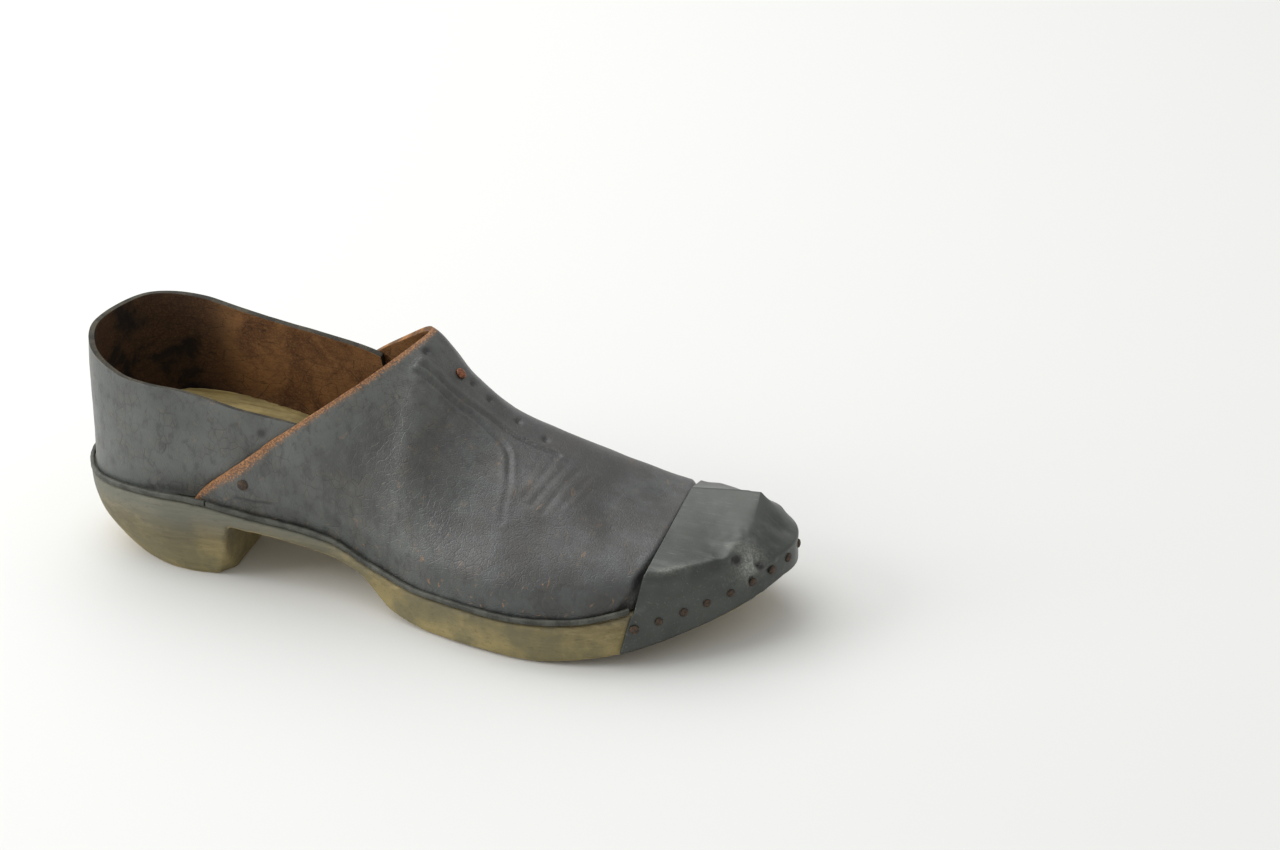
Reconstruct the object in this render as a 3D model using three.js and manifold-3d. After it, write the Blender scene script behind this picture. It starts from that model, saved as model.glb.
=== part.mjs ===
// A right-foot wooden clog: a carved wooden sole with its heel in one piece, a nailed-on leather vamp and
// back quarter, leather rands round the feather edge, and a toe cap of thin sheet iron.
// Millimetres. +X runs from heel to toe, +Y to the inner (medial) side of the foot, +Z up from the ground.
// The origin lies under the middle of the clog, on the ground.
import * as THREE from "three";
import { mergeVertices } from "three/addons/utils/BufferGeometryUtils.js";
import Module from "manifold-3d";

const wasm = await Module();
wasm.setup();

// ---- driving dimensions -------------------------------------------------------------------------------
const LENGTH = 271; // heel back to toe tip, along the sole
const HEEL_WIDTH = 71; // across the heel seat
const WAIST_WIDTH = 71; // across the waist, just in front of the heel
const BALL_WIDTH = 98; // across the ball of the foot
const TOE_WIDTH = 62; // across the sole where the toe starts to turn in
const HEEL_LENGTH = 63; // heel back to the breast of the heel
const WAIST_X = 112; // where the sole is narrowest
const BALL_X = 168; // where the sole touches the ground in front

const SEAT_HEIGHT = 32; // ground to feather edge at the heel
const SOLE_EDGE = 14; // height of the wooden edge at the ball
const SHANK_EDGE = 3.5; // height of the wooden edge just in front of the heel
const TOE_SPRING = 19; // ground to the underside of the toe tip
const TOE_EDGE = 11; // height of the wooden edge at the toe tip
const SHANK_DROP = 4; // how much lower still the shank starts, at the breast
const SHANK_KEEL = 5; // how far the middle of the shank hangs below its edges
const HEEL_TAPER = 4; // how far the heel draws in towards the ground, at its sides
const HEEL_RAKE = 13; // how much more it draws in at the back
const WALL_ROUND = 2.3; // how late the wall turns in: higher values make it rounder
const BREAST_RAKE = 3.5; // how far the heel breast leans forward towards the shank
const FOOTBED_DISH = 3; // depth of the hollow worn into the footbed

const LEATHER = 2.2; // thickness of the upper leather
const RAND_THICKNESS = 1.6;
const RAND_HEIGHT = 3;
const REBATE_HEIGHT = 5.5; // height of the step that the upper is nailed round, at the ball
const HEEL_REBATE = 13.5; // and under the heel, where the footbed is left thick
const REBATE_DRAFT = 1.2; // how far that step leans in
const TOE_SETBACK = 9; // how much further in the step lies at the toe, under the cap
const SHEET = 1; // thickness of the toe cap sheet
const GAP = 0.3; // clearance between pieces that touch
const LAP_GAP = 0.5; // clearance between the two leathers where the vamp laps over the quarter
const LAP_BLEND = 30; // the quarter starts to draw in under the vamp this far behind the vamp's tips
const LAP_CLEAR = 2; // and is fully in this far behind them
const LAP_FADE = 10; // the wood comes out again over this length, in front of the quarter
const TOE_FADE = 0.85; // how much of the step is lost at the toe tip

const TIP_X = 53; // rear tips of the vamp
const THROAT_X = 133; // peak of the vamp over the instep
const THROAT_HEIGHT = 95; // ground to that peak
const RIDGE_Y = 10; // the instep ridge lies this far to the medial side
const LAP_LENGTH = 55; // how far the quarter runs forward inside the vamp
const QUARTER_HEIGHT = 52; // feather edge to the rim, at the heel
const QUARTER_FALL = 8; // how much lower the rim is at the front of the quarter
const MEDIAL_RISE = 2.5; // how much higher the rim stands on the medial side, beside the heel
const MEDIAL_LIFT = 3.5; // and how much more at the front of the quarter
const LATERAL_DIP = 5.5; // how far the rim dips on the lateral side, beside the heel
const LATERAL_FADE = 0.45; // the share of that dip that is gone at the front of the quarter
const HEEL_LEAN = 1.2; // how far the quarter's back leans forward at the rim
const BACK_END = 5; // the quarter's upright back turns into its leaning sides from here
const SIDE_START = 55; // to here

const CAP_LENGTH = 40; // toe tip back to the cap's rear edge, at the ridge
const CAP_SWEEP = 9; // how much further back the cap reaches at its lower edges
const CAP_HEIGHT = 41.5; // ground to the cap's ridge at its rear edge
const CAP_DROP = 1.5; // fall of the ridge towards its front end
const CAP_CREASE = 36; // ground to the crease between the cap's lateral and top panels
const CAP_MEDIAL_CREASE = 33; // the same on the medial side
const TUCK_IN = 2; // how far the vamp is drawn in under the cap
const CAP_SHOW = 1.6; // wood left bare below the cap
const CAP_FOOT_SWEEP = 0.4; // share of the sweep at the feather edge
const CAP_CREASE_SWEEP = 0.85; // and at the crease
const CAP_SIDE_LEAN = 2; // how far the cap's side panels lean in, at the crease
const CAP_FRONT_LEAN = 7; // how much more its front leans in
const CAP_RIDGE_SETBACK = 15; // toe tip back to the front end of the cap's ridge
const CAP_TUCK = 8; // how far the vamp runs forward under the cap

const NAIL_SHANK = 0.9; // radius of every nail's shank
const CAP_NAIL_HEAD = 1.75; // head radii
const HOBNAIL_HEAD = 2.3;
const RIVET_HEAD = 2.6;
const RIVET_LENGTH = 5.6; // long enough to pass both leathers
const INSTEP_RIVET = 13; // how far in front of the throat the instep rivet sits
const TIP_RIVET = 21; // how far in front of the vamp's rear tips the others sit
const TIP_RIVET_V = 0.075; // how far round the section the tip rivets sit, from the foot
const INSTEP_RIVET_V = 0.47; // and the instep rivet
const HEAD_RISE = 1.1; // how far a nail head stands proud
const NAIL_LENGTH = 7;
const NAIL_LEVEL = 0.66; // cap nails sit at this share of the wooden edge's height
const CAP_NAILS = 15;
const HOBNAILS = 27; // round the edge of the forepart
const HEEL_NAILS = 8; // round the edge of the heel
const HOBNAIL_STAND = 0.5; // how far the forepart's hobnails stand below the wood
const HEEL_NAIL_SINK = 0.25; // the heel's nails are worn in below the wood
const HOBNAIL_INSET = 8; // the forepart's nails stand this far in from the outline
const HEEL_NAIL_INSET = 7; // the heel's nails, from the edge of its foot
const HOBNAIL_START = 22; // the first ones stand this far behind the ball
const HEEL_NAIL_START = 8; // and the heel's this far behind the breast
const CAP_NAIL_START = 4; // the cap's end nails, from its rear edges

const STATION = 7; // the sections of the vamp stand about this far apart
const RING_STEP = 6; // and the points round the sole
const RAND_STEP = 5; // and those along the rands
const SIDES = 6; // facets round a nail

// ---- small helpers ------------------------------------------------------------------------------------
const { clamp, lerp, smoothstep } = THREE.MathUtils;

// A smooth line z(x) through points [x, z] that rises and falls only as its points do.
function line(points) {
  const n = points.length;
  const slope = points.slice(1).map(([x, z], i) => (z - points[i][1]) / (x - points[i][0]));
  const tangent = points.map((_, i) => {
    if (i === 0) return slope[0];
    if (i === n - 1) return slope[n - 2];
    const [a, b] = [slope[i - 1], slope[i]];
    return a * b <= 0 ? 0 : (2 * a * b) / (a + b);
  });
  return (x) => {
    if (x <= points[0][0]) return points[0][1];
    if (x >= points[n - 1][0]) return points[n - 1][1];
    const i = points.findIndex((p) => p[0] > x) - 1;
    const width = points[i + 1][0] - points[i][0];
    const t = (x - points[i][0]) / width;
    const rise = points[i + 1][1] - points[i][1];
    const [m0, m1] = [tangent[i] * width, tangent[i + 1] * width];
    return points[i][1] + t * (m0 + t * (3 * rise - 2 * m0 - m1 + t * (m0 + m1 - 2 * rise)));
  };
}

// A closed or open surface from a grid of points, as triangles that face the way u turns into v.
function gridGeometry(points, wrapU = false) {
  const rows = points.length;
  const columns = points[0].length;
  const at = (i, j) => (i % rows) * columns + j;
  const index = [];
  for (let i = 0; i < rows - (wrapU ? 0 : 1); i++)
    for (let j = 0; j < columns - 1; j++) {
      index.push(at(i, j), at(i + 1, j), at(i + 1, j + 1));
      index.push(at(i, j), at(i + 1, j + 1), at(i, j + 1));
    }
  return meshData(points.flat(), index);
}

function meshData(points, index) {
  const geometry = new THREE.BufferGeometry().setFromPoints(points);
  geometry.setIndex(index);
  return geometry;
}

// Merges points that coincide and drops the triangles that this closes up.
function merged(geometry) {
  const bare = geometry.clone();
  bare.deleteAttribute("normal");
  bare.deleteAttribute("uv");
  const whole = mergeVertices(bare, 1e-3);
  const from = whole.index.array;
  const kept = [];
  for (let i = 0; i < from.length; i += 3) {
    const [a, b, c] = [from[i], from[i + 1], from[i + 2]];
    if (a !== b && b !== c && c !== a) kept.push(a, b, c);
  }
  whole.setIndex(kept);
  return whole;
}

// A sheet of even thickness whose outer face is the given open surface.
function thicken(surface, thickness) {
  const outer = merged(surface);
  outer.computeVertexNormals();
  const position = outer.attributes.position;
  const normal = outer.attributes.normal;
  const count = position.count;
  const points = [];
  for (let i = 0; i < count; i++) points.push(new THREE.Vector3().fromBufferAttribute(position, i));
  for (let i = 0; i < count; i++) {
    const inward = new THREE.Vector3().fromBufferAttribute(normal, i).multiplyScalar(-thickness);
    points.push(points[i].clone().add(inward));
  }
  const faces = outer.index.array;
  const index = [...faces];
  const edges = new Map();
  for (let i = 0; i < faces.length; i += 3) {
    const [a, b, c] = [faces[i], faces[i + 1], faces[i + 2]];
    index.push(a + count, c + count, b + count);
    for (const [p, q] of [[a, b], [b, c], [c, a]]) {
      if (edges.has(q + "," + p)) edges.delete(q + "," + p);
      else edges.set(p + "," + q, [p, q]);
    }
  }
  for (const [p, q] of edges.values()) index.push(q, p, p + count, q, p + count, q + count);
  return meshData(points, index);
}

function solid(geometry) {
  const whole = merged(geometry);
  const made = new wasm.Manifold(
    new wasm.Mesh({
      numProp: 3,
      vertProperties: new Float32Array(whole.attributes.position.array),
      triVerts: new Uint32Array(whole.index.array),
    }),
  );
  return made;
}

function geometryOf(made) {
  const mesh = made.getMesh();
  const geometry = new THREE.BufferGeometry();
  geometry.setAttribute("position", new THREE.BufferAttribute(new Float32Array(mesh.vertProperties), 3));
  geometry.setIndex(new THREE.BufferAttribute(new Uint32Array(mesh.triVerts), 1));
  return geometry;
}

// ---- the lines of the last ----------------------------------------------------------------------------
// Half-breadths are measured from the axis; the ball swells to the lateral side and the toe leans medially.
const MEDIAL_SHARE = 0.42; // share of the ball's width that lies on the medial side
const heelRadius = HEEL_WIDTH / 2;
const capRearX = LENGTH - CAP_LENGTH;
const capLowX = capRearX - CAP_SWEEP;
const fore = (part) => lerp(BALL_X, LENGTH, part);

const outlineCurve = new THREE.CatmullRomCurve3(
  [
    [0, 0],
    [heelRadius * (1 - Math.SQRT1_2), -heelRadius * Math.SQRT1_2],
    [heelRadius, -heelRadius],
    [HEEL_LENGTH, -HEEL_WIDTH / 2],
    [WAIST_X, -WAIST_WIDTH / 2],
    [lerp(WAIST_X, BALL_X, 0.65), -lerp(WAIST_WIDTH / 2, BALL_WIDTH * (1 - MEDIAL_SHARE), 0.62)],
    [fore(0.2), -BALL_WIDTH * (1 - MEDIAL_SHARE)],
    [fore(0.52), -lerp(BALL_WIDTH * (1 - MEDIAL_SHARE), TOE_WIDTH / 2, 0.25)],
    [fore(0.75), -TOE_WIDTH / 2 - 2],
    [fore(0.91), -TOE_WIDTH / 4 - 1],
    [LENGTH, 5],
    [fore(0.94), TOE_WIDTH / 3],
    [fore(0.79), TOE_WIDTH / 2 - 2],
    [fore(0.53), lerp(BALL_WIDTH * MEDIAL_SHARE, TOE_WIDTH / 2, 0.35)],
    [fore(0.16), BALL_WIDTH * MEDIAL_SHARE],
    [lerp(WAIST_X, BALL_X, 0.5), lerp(WAIST_WIDTH / 2, BALL_WIDTH * MEDIAL_SHARE, 0.6)],
    [lerp(HEEL_LENGTH, WAIST_X, 0.7), WAIST_WIDTH / 2],
    [HEEL_LENGTH, HEEL_WIDTH / 2],
    [heelRadius, heelRadius],
    [heelRadius * (1 - Math.SQRT1_2), heelRadius * Math.SQRT1_2],
  ].map(([x, y]) => new THREE.Vector3(x, y, 0)),
  true,
);
outlineCurve.arcLengthDivisions = 800;
const perimeter = outlineCurve.getLength();
const ringSteps = 2 * Math.round(perimeter / (2 * RING_STEP));

// A point on the sole's outline at share t of the way round, from the heel back by the lateral side, drawn
// in square to the outline by inset.
function outlinePoint(t, inset = 0) {
  const turn = ((t % 1) + 1) % 1;
  const point = outlineCurve.getPointAt(turn);
  const tangent = outlineCurve.getTangentAt(turn);
  return new THREE.Vector3(point.x - tangent.y * inset, point.y + tangent.x * inset, 0);
}

function outwardNormal(t) {
  return outlinePoint(t, -1).sub(outlinePoint(t, 0)).normalize();
}

// The share of the way round at which the toe tip lies.
const toeTip = Array.from({ length: 401 }, (_, i) => i / 400).reduce((best, t) =>
  outlineCurve.getPointAt(t).x > outlineCurve.getPointAt(best).x ? t : best,
);

// The share t at which one side of the outline passes x.
function shareAt(x, lateral) {
  let [low, high] = lateral ? [0, toeTip] : [1, toeTip];
  for (let i = 0; i < 40; i++) {
    const middle = (low + high) / 2;
    if (outlineCurve.getPointAt(middle).x < x) low = middle;
    else high = middle;
  }
  return (low + high) / 2;
}
const SAMPLES = 300;
const edgeTable = [true, false].map((lateral) =>
  Array.from({ length: SAMPLES + 1 }, (_, i) => {
    const x = lerp(0.5, LENGTH - 0.5, i / SAMPLES);
    return outlineCurve.getPointAt(shareAt(x, lateral)).y;
  }),
);
function edgeY(x, lateral) {
  const table = edgeTable[lateral ? 0 : 1];
  const place = clamp(((x - 0.5) / (LENGTH - 1)) * SAMPLES, 0, SAMPLES - 1e-6);
  const i = Math.floor(place);
  return lerp(table[i], table[i + 1], place - i);
}

// Height of the feather edge, where the upper meets the wood.
const featherZ = line([
  [0, SEAT_HEIGHT - 1.5],
  [0.7 * HEEL_LENGTH, SEAT_HEIGHT],
  [1.2 * HEEL_LENGTH, lerp(SOLE_EDGE, SEAT_HEIGHT, 0.77)],
  [0.95 * WAIST_X, lerp(SOLE_EDGE, SEAT_HEIGHT, 0.5)],
  [lerp(WAIST_X, BALL_X, 0.22), lerp(SOLE_EDGE, SEAT_HEIGHT, 0.18)],
  [lerp(WAIST_X, BALL_X, 0.65), SOLE_EDGE + 0.8],
  [fore(0.1), SOLE_EDGE + 1],
  [fore(0.35), lerp(SOLE_EDGE, TOE_SPRING + TOE_EDGE, 0.16)],
  [fore(0.6), lerp(SOLE_EDGE, TOE_SPRING + TOE_EDGE, 0.5)],
  [LENGTH, TOE_SPRING + TOE_EDGE],
]);

// Height of the underside at its edges, and how far its middle hangs below them.
const treadRise = HOBNAIL_STAND + 0.1;
const underZ = line([
  [HEEL_LENGTH, SEAT_HEIGHT - SHANK_EDGE - SHANK_DROP],
  [0.9 * WAIST_X, lerp(0, SEAT_HEIGHT, 0.6)],
  [lerp(WAIST_X, BALL_X, 0.1), lerp(0, SEAT_HEIGHT, 0.46)],
  [lerp(WAIST_X, BALL_X, 0.4), treadRise + 2.5],
  [lerp(WAIST_X, BALL_X, 0.7), treadRise],
  [fore(0.2), treadRise],
  [fore(0.45), lerp(treadRise, TOE_SPRING, 0.16)],
  [fore(0.75), lerp(treadRise, TOE_SPRING, 0.5)],
  [LENGTH, TOE_SPRING],
]);
const keelDepth = line([
  [HEEL_LENGTH, SHANK_KEEL],
  [WAIST_X, SHANK_KEEL],
  [lerp(WAIST_X, BALL_X, 0.7), 0],
]);
function undersideZ(x, y) {
  const width = y < 0 ? -edgeY(x, true) : edgeY(x, false);
  const across = clamp(Math.abs(y) / Math.max(width, 1), 0, 1);
  return underZ(x) - keelDepth(x) * (1 - across ** 2);
}

// ---- how the pieces sit round the feather edge ----------------------------------------------------------
const leatherInset = RAND_THICKNESS + GAP; // outer face of the upper, in from the outline
const lapFront = TIP_X + LAP_LENGTH;
// 1 where the vamp laps over the quarter, 0 elsewhere
const lapStart = (x) => smoothstep(x, TIP_X - LAP_BLEND, TIP_X - LAP_CLEAR);
const lapEnd = (x) => smoothstep(x, lapFront + LAP_CLEAR, lapFront + LAP_CLEAR + LAP_FADE);
const lapShare = (x) => lapStart(x) * (1 - lapEnd(x));
const toeShare = (x) => smoothstep(x, capRearX, LENGTH);
const rebateInset = (x) =>
  leatherInset + LEATHER + 2 * GAP + lapShare(x) * (LEATHER + LAP_GAP) + toeShare(x) * TOE_SETBACK +
  TUCK_IN * smoothstep(x, capLowX - 12, capLowX - 5);
const rebateRise = (x) =>
  lerp(HEEL_REBATE, REBATE_HEIGHT, smoothstep(x, HEEL_LENGTH, BALL_X)) * (1 - TOE_FADE * toeShare(x));

// ---- the upper's shape --------------------------------------------------------------------------------
const vampCapRidge = CAP_HEIGHT - SHEET - 3 * GAP;
const ridgeZ = line([
  [TIP_X, THROAT_HEIGHT + 16],
  [THROAT_X - 30, THROAT_HEIGHT + 9],
  [THROAT_X, THROAT_HEIGHT],
  [lerp(THROAT_X, capRearX, 0.15), lerp(vampCapRidge, THROAT_HEIGHT, 0.7)],
  [lerp(THROAT_X, capRearX, 0.32), lerp(vampCapRidge, THROAT_HEIGHT, 0.45)],
  [lerp(THROAT_X, capRearX, 0.63), lerp(vampCapRidge, THROAT_HEIGHT, 0.22)],
  [capRearX, vampCapRidge],
  [LENGTH, vampCapRidge - CAP_DROP],
]);
// Higher values make a section stand up rounder; lower ones make it squarer.
const sideSquareness = line([
  [TIP_X, 0.45],
  [THROAT_X - 35, 0.55],
  [THROAT_X, 1.1],
  [fore(0.2), 0.85],
  [capRearX, 0.62],
]);
const crownSquareness = line([[TIP_X, 1.15], [THROAT_X, 1.25], [fore(0.2), 0.95], [capRearX, 0.6]]);
const BULGE = 1.6; // how far the upper swells out over the rand
const MEDIAL_ROUNDNESS = 1.15; // the medial side of the upper is rounder than the lateral one

// A point of the upper's outer face in the section at x, at angle share v from the lateral foot (0) over the
// ridge (0.5) to the medial foot (1), drawn in by inset.
function upperPoint(x, v, inset) {
  const lateral = v < 0.5;
  const roundness = lateral ? 1 : MEDIAL_ROUNDNESS;
  const angle = Math.PI * v;
  const foot = featherZ(x) + GAP;
  const height = (ridgeZ(x) - inset - foot) * Math.sin(angle) ** (crownSquareness(x) * roundness);
  const edge = edgeY(x, lateral) - (lateral ? -1 : 1) * inset;
  const out = Math.abs(Math.cos(angle)) ** (sideSquareness(x) * roundness);
  const swell = BULGE * smoothstep(height, RAND_HEIGHT + GAP, RAND_HEIGHT + 12) * out;
  const y = RIDGE_Y * ridgeLean(x) + (edge - RIDGE_Y * ridgeLean(x)) * out + (lateral ? -swell : swell);
  return new THREE.Vector3(x, y, foot + height);
}
const ridgeLean = line([[TIP_X, 0], [THROAT_X - 20, 0.5], [THROAT_X, 1], [LENGTH, 1]]);

function vampGeometry() {
  const [along, across] = [Math.round((capRearX - TIP_X) / STATION), 28];
  const rows = [];
  for (let i = 0; i <= along; i++) {
    const row = [];
    for (let j = 0; j <= across; j++) {
      const v = j / across;
      const crown = Math.sin(Math.PI * v);
      const rear = lerp(TIP_X, THROAT_X, crown ** 1.3);
      const front = capRearX - CAP_SWEEP * (1 - crown) + CAP_TUCK;
      const x = lerp(rear, front, i / along);
      const underCap = smoothstep(x, front - CAP_TUCK - 4, front - CAP_TUCK);
      row.push(upperPoint(x, v, leatherInset + underCap * TUCK_IN));
    }
    rows.push(row);
  }
  return thicken(gridGeometry(rows), LEATHER);
}

// Rim height above the feather edge: highest behind the ankle, falling towards the front.
const rimHeight = line([
  [0, QUARTER_HEIGHT + 1.5],
  [0.6 * HEEL_LENGTH, QUARTER_HEIGHT - 2],
  [lapFront, QUARTER_HEIGHT - QUARTER_FALL],
]);

// How much higher the rim stands over a point of the outline than that line.
function rimShift(foot) {
  const medial = MEDIAL_RISE + MEDIAL_LIFT * smoothstep(foot.x, 0.6 * HEEL_LENGTH, lapFront);
  const kept = 1 - LATERAL_FADE * smoothstep(foot.x, HEEL_LENGTH, lapFront);
  const lateral = -LATERAL_DIP * kept * smoothstep(foot.x, 0, HEEL_LENGTH / 2);
  return medial * smoothstep(foot.y, 0, HEEL_WIDTH / 2) + lateral * smoothstep(-foot.y, 0, HEEL_WIDTH / 2);
}

// A point of the quarter's outer face at share t of the outline and height h above the feather edge. Its
// back stands on the outline; its sides follow the upper's sections, inside the vamp where that laps over.
function quarterPoint(t, h) {
  const foot = outlinePoint(t);
  const lateral = foot.y < 0;
  const roundness = lateral ? 1 : MEDIAL_ROUNDNESS;
  const rise = Math.max(h - GAP, 0) / (ridgeZ(foot.x) - leatherInset - featherZ(foot.x) - GAP);
  const v = Math.asin(rise ** (1 / (crownSquareness(foot.x) * roundness))) / Math.PI;
  const section = clamp(lateral ? v : 1 - v, 0.004, 0.996);
  const lap = lapStart(foot.x) * (LEATHER + LAP_GAP);
  const side = upperPoint(foot.x, section, leatherInset).addScaledVector(upperNormal(foot.x, section), -lap);
  const back = outlinePoint(t, leatherInset + (HEEL_LEAN * h) / QUARTER_HEIGHT);
  back.z = featherZ(foot.x) + h;
  return back.lerp(side, smoothstep(foot.x, BACK_END, SIDE_START));
}

function quarterGeometry() {
  const [around, up] = [48, 6];
  const [start, end] = [shareAt(lapFront, false) - 1, shareAt(lapFront, true)];
  const rows = [];
  for (let i = 0; i <= around; i++) {
    const t = lerp(start, end, i / around);
    const foot = outlinePoint(t);
    const rim = rimHeight(foot.x) + rimShift(foot);
    const row = [];
    for (let j = 0; j <= up; j++) row.push(quarterPoint(t, GAP + (rim - GAP) * (j / up)));
    rows.push(row);
  }
  return thicken(gridGeometry(rows), LEATHER);
}

function randGeometry(start, end) {
  const steps = Math.round(((end - start) * perimeter) / RAND_STEP);
  const rows = [];
  for (let i = 0; i <= steps; i++) {
    const t = lerp(start, end, i / steps);
    const z = featherZ(outlinePoint(t).x) + GAP;
    const crown = 0.35; // the strip is a little rounded
    const points = [0, crown, 0].map((out, j) => {
      const point = outlinePoint(t, -out);
      point.z = z + (RAND_HEIGHT * j) / 2;
      return point;
    });
    rows.push(points);
  }
  return thicken(gridGeometry(rows), RAND_THICKNESS);
}

// ---- the toe cap --------------------------------------------------------------------------------------
const capInset = -(SHEET + GAP); // its outer face stands this far outside the wood

function capGeometry() {
  const [around, low, wall, top] = [32, 2, 2, 3];
  // share of the way round at step i, on a line that starts the given share of the sweep forward
  const turn = (i, sweep) => {
    const x = capLowX + CAP_SWEEP * sweep;
    return lerp(shareAt(x, true), shareAt(x, false), i / around);
  };
  const ridgeRear = new THREE.Vector3(capRearX, RIDGE_Y + 2, CAP_HEIGHT);
  const ridgeFront = new THREE.Vector3(LENGTH - CAP_RIDGE_SETBACK, RIDGE_Y + 5, CAP_HEIGHT - CAP_DROP);
  const rows = [];
  for (let i = 0; i <= around; i++) {
    const side = Math.abs((2 * i) / around - 1); // 1 at the rear edges, 0 at the toe tip
    const front = 1 - smoothstep(side, 0, 0.5);
    const hem = outlinePoint(turn(i, 0), capInset);
    hem.z = undersideZ(Math.min(hem.x, LENGTH - 1), hem.y) + CAP_SHOW;
    const foot = outlinePoint(turn(i, CAP_FOOT_SWEEP), capInset);
    foot.z = featherZ(foot.x) + GAP;
    const crease = outlinePoint(turn(i, CAP_CREASE_SWEEP), capInset + CAP_SIDE_LEAN + CAP_FRONT_LEAN * front);
    crease.z = lerp(CAP_CREASE, CAP_MEDIAL_CREASE, smoothstep(i / around, 0.4, 0.8));
    const ridge = ridgeFront.clone().lerp(ridgeRear, smoothstep(side, 0.25, 1));
    const row = [];
    for (let j = 0; j < low; j++) row.push(hem.clone().lerp(foot, j / low));
    for (let j = 0; j < wall; j++) row.push(foot.clone().lerp(crease, j / wall));
    for (let j = 0; j <= top; j++) row.push(crease.clone().lerp(ridge, j / top));
    rows.push(row);
  }
  return thicken(gridGeometry(rows), SHEET);
}

// ---- the wooden sole ----------------------------------------------------------------------------------
// Closes a stack of rings round the sole into a solid.
function stack(rings) {
  const count = rings[0].length;
  const index = [];
  for (let r = 0; r < rings.length - 1; r++)
    for (let i = 0; i < count; i++) {
      const next = (i + 1) % count;
      const [a, b] = [r * count + i, r * count + next];
      index.push(a, b, b + count, a, b + count, a + count);
    }
  // each end is closed by strips from side to side, from the heel back to the toe
  const last = (rings.length - 1) * count;
  for (let i = 0; i < count / 2; i++) {
    const [a, b, c, d] = [i, i + 1, count - i - 1, (count - i) % count];
    index.push(a, c, b, a, d, c);
    index.push(last + a, last + b, last + c, last + a, last + c, last + d);
  }
  return meshData(rings.flat(), index);
}

// How far the wall is drawn in at the ground, at a point of the outline.
function groundInset(x) {
  const heel = 1 - smoothstep(x, HEEL_LENGTH, WAIST_X);
  const back = clamp(1 - x / (0.85 * HEEL_LENGTH), 0, 1) ** 1.5;
  return 1 + HEEL_TAPER * heel + HEEL_RAKE * back;
}

function wholeBlock() {
  const ring = (make) => Array.from({ length: ringSteps }, (_, i) => make(i / ringSteps));
  const wallRing = (down) =>
    ring((t) => {
      const x = outlinePoint(t).x;
      const point = outlinePoint(t, groundInset(x) * down ** WALL_ROUND);
      point.z = featherZ(x) * (1 - down);
      return point;
    });
  const bedRing = (towards, drop) =>
    ring((t) => {
      const x = outlinePoint(t).x;
      const point = outlinePoint(t, rebateInset(x) + REBATE_DRAFT);
      point.z = featherZ(point.x) + rebateRise(x) - drop;
      const spine = new THREE.Vector3(clamp(x, heelRadius, LENGTH - 30), RIDGE_Y * 0.4, point.z);
      return point.lerp(spine, towards);
    });
  const rebateFloor = ring((t) => {
    const x = outlinePoint(t).x;
    const point = outlinePoint(t, rebateInset(x));
    point.z = featherZ(point.x);
    return point;
  });
  return stack([
    ...[1, 0.94, 0.75, 0.5, 0.25, 0].map(wallRing),
    rebateFloor,
    bedRing(0, 0),
    bedRing(0.25, FOOTBED_DISH * 0.5),
    bedRing(0.6, FOOTBED_DISH * 0.9),
    bedRing(0.9, FOOTBED_DISH),
  ]);
}

// What the maker carves away in front of the heel: everything below the shank, tread and toe spring.
function undercut() {
  const [along, across] = [30, 8];
  const reach = BALL_WIDTH;
  const top = [];
  const bottom = [];
  for (let i = 0; i <= along; i++) {
    const x = lerp(HEEL_LENGTH, LENGTH + 12, i / along);
    const row = [];
    const under = [];
    for (let j = 0; j <= across; j++) {
      const y = lerp(-reach, reach, j / across);
      const lean = i === 0 ? BREAST_RAKE : 0;
      row.push(new THREE.Vector3(x + lean, y, undersideZ(clamp(x, 1, LENGTH - 1), y)));
      under.push(new THREE.Vector3(x, y, -20));
    }
    top.push(row);
    bottom.push(under.reverse());
  }
  // each column runs over the top and back underneath, then the two ends are closed
  const loop = top.map((row, i) => [...row, ...bottom[i]]);
  const count = loop[0].length;
  const index = [];
  for (let i = 0; i < along; i++)
    for (let j = 0; j < count; j++) {
      const next = (j + 1) % count;
      const [a, b] = [i * count + j, i * count + next];
      index.push(a, a + count, b + count, a, b + count, b);
    }
  for (let j = 0; j < across; j++) {
    const below = count - 1 - j;
    const start = [j, j + 1, below - 1, below];
    index.push(start[0], start[1], start[2], start[0], start[2], start[3]);
    const end = start.map((k) => along * count + k);
    index.push(end[0], end[2], end[1], end[0], end[3], end[2]);
  }
  return meshData(loop.flat(), index);
}

// ---- nails --------------------------------------------------------------------------------------------
// A nail that points along -Z, its head's underside at the origin.
function nailGeometry(headRadius, rise, length) {
  const profile = [
    [0, -length],
    [NAIL_SHANK, -length * 0.7],
    [NAIL_SHANK, 0],
    [headRadius, 0],
    [headRadius * 0.7, rise],
    [0, rise],
  ].map(([x, y]) => new THREE.Vector2(x, y));
  return new THREE.LatheGeometry(profile, SIDES).rotateX(Math.PI / 2);
}

// The room that a nail's shank needs, with clearance, from above the surface down past its point.
function shankHole(length) {
  const hole = new THREE.CylinderGeometry(NAIL_SHANK + GAP, NAIL_SHANK + GAP, length + 2 * GAP + 4, SIDES);
  return hole.rotateX(Math.PI / 2).translate(0, 0, 2 - length / 2 - GAP);
}

// The sunk seat of a hobnail's head, open to the ground.
function headSeat(headRadius, rise) {
  const depth = rise + GAP + 4;
  const seat = new THREE.CylinderGeometry(headRadius + GAP, headRadius + GAP, depth, SIDES);
  return seat.rotateX(Math.PI / 2).translate(0, 0, depth / 2 - GAP);
}

// Turns +Z to the direction out of the surface and moves the head to its place.
function pose(at, out) {
  const turn = new THREE.Quaternion().setFromUnitVectors(new THREE.Vector3(0, 0, 1), out);
  return new THREE.Matrix4().compose(at, turn, new THREE.Vector3(1, 1, 1));
}

const posed = (geometry, nail) => solid(geometry.clone().applyMatrix4(nail.matrix));

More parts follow.
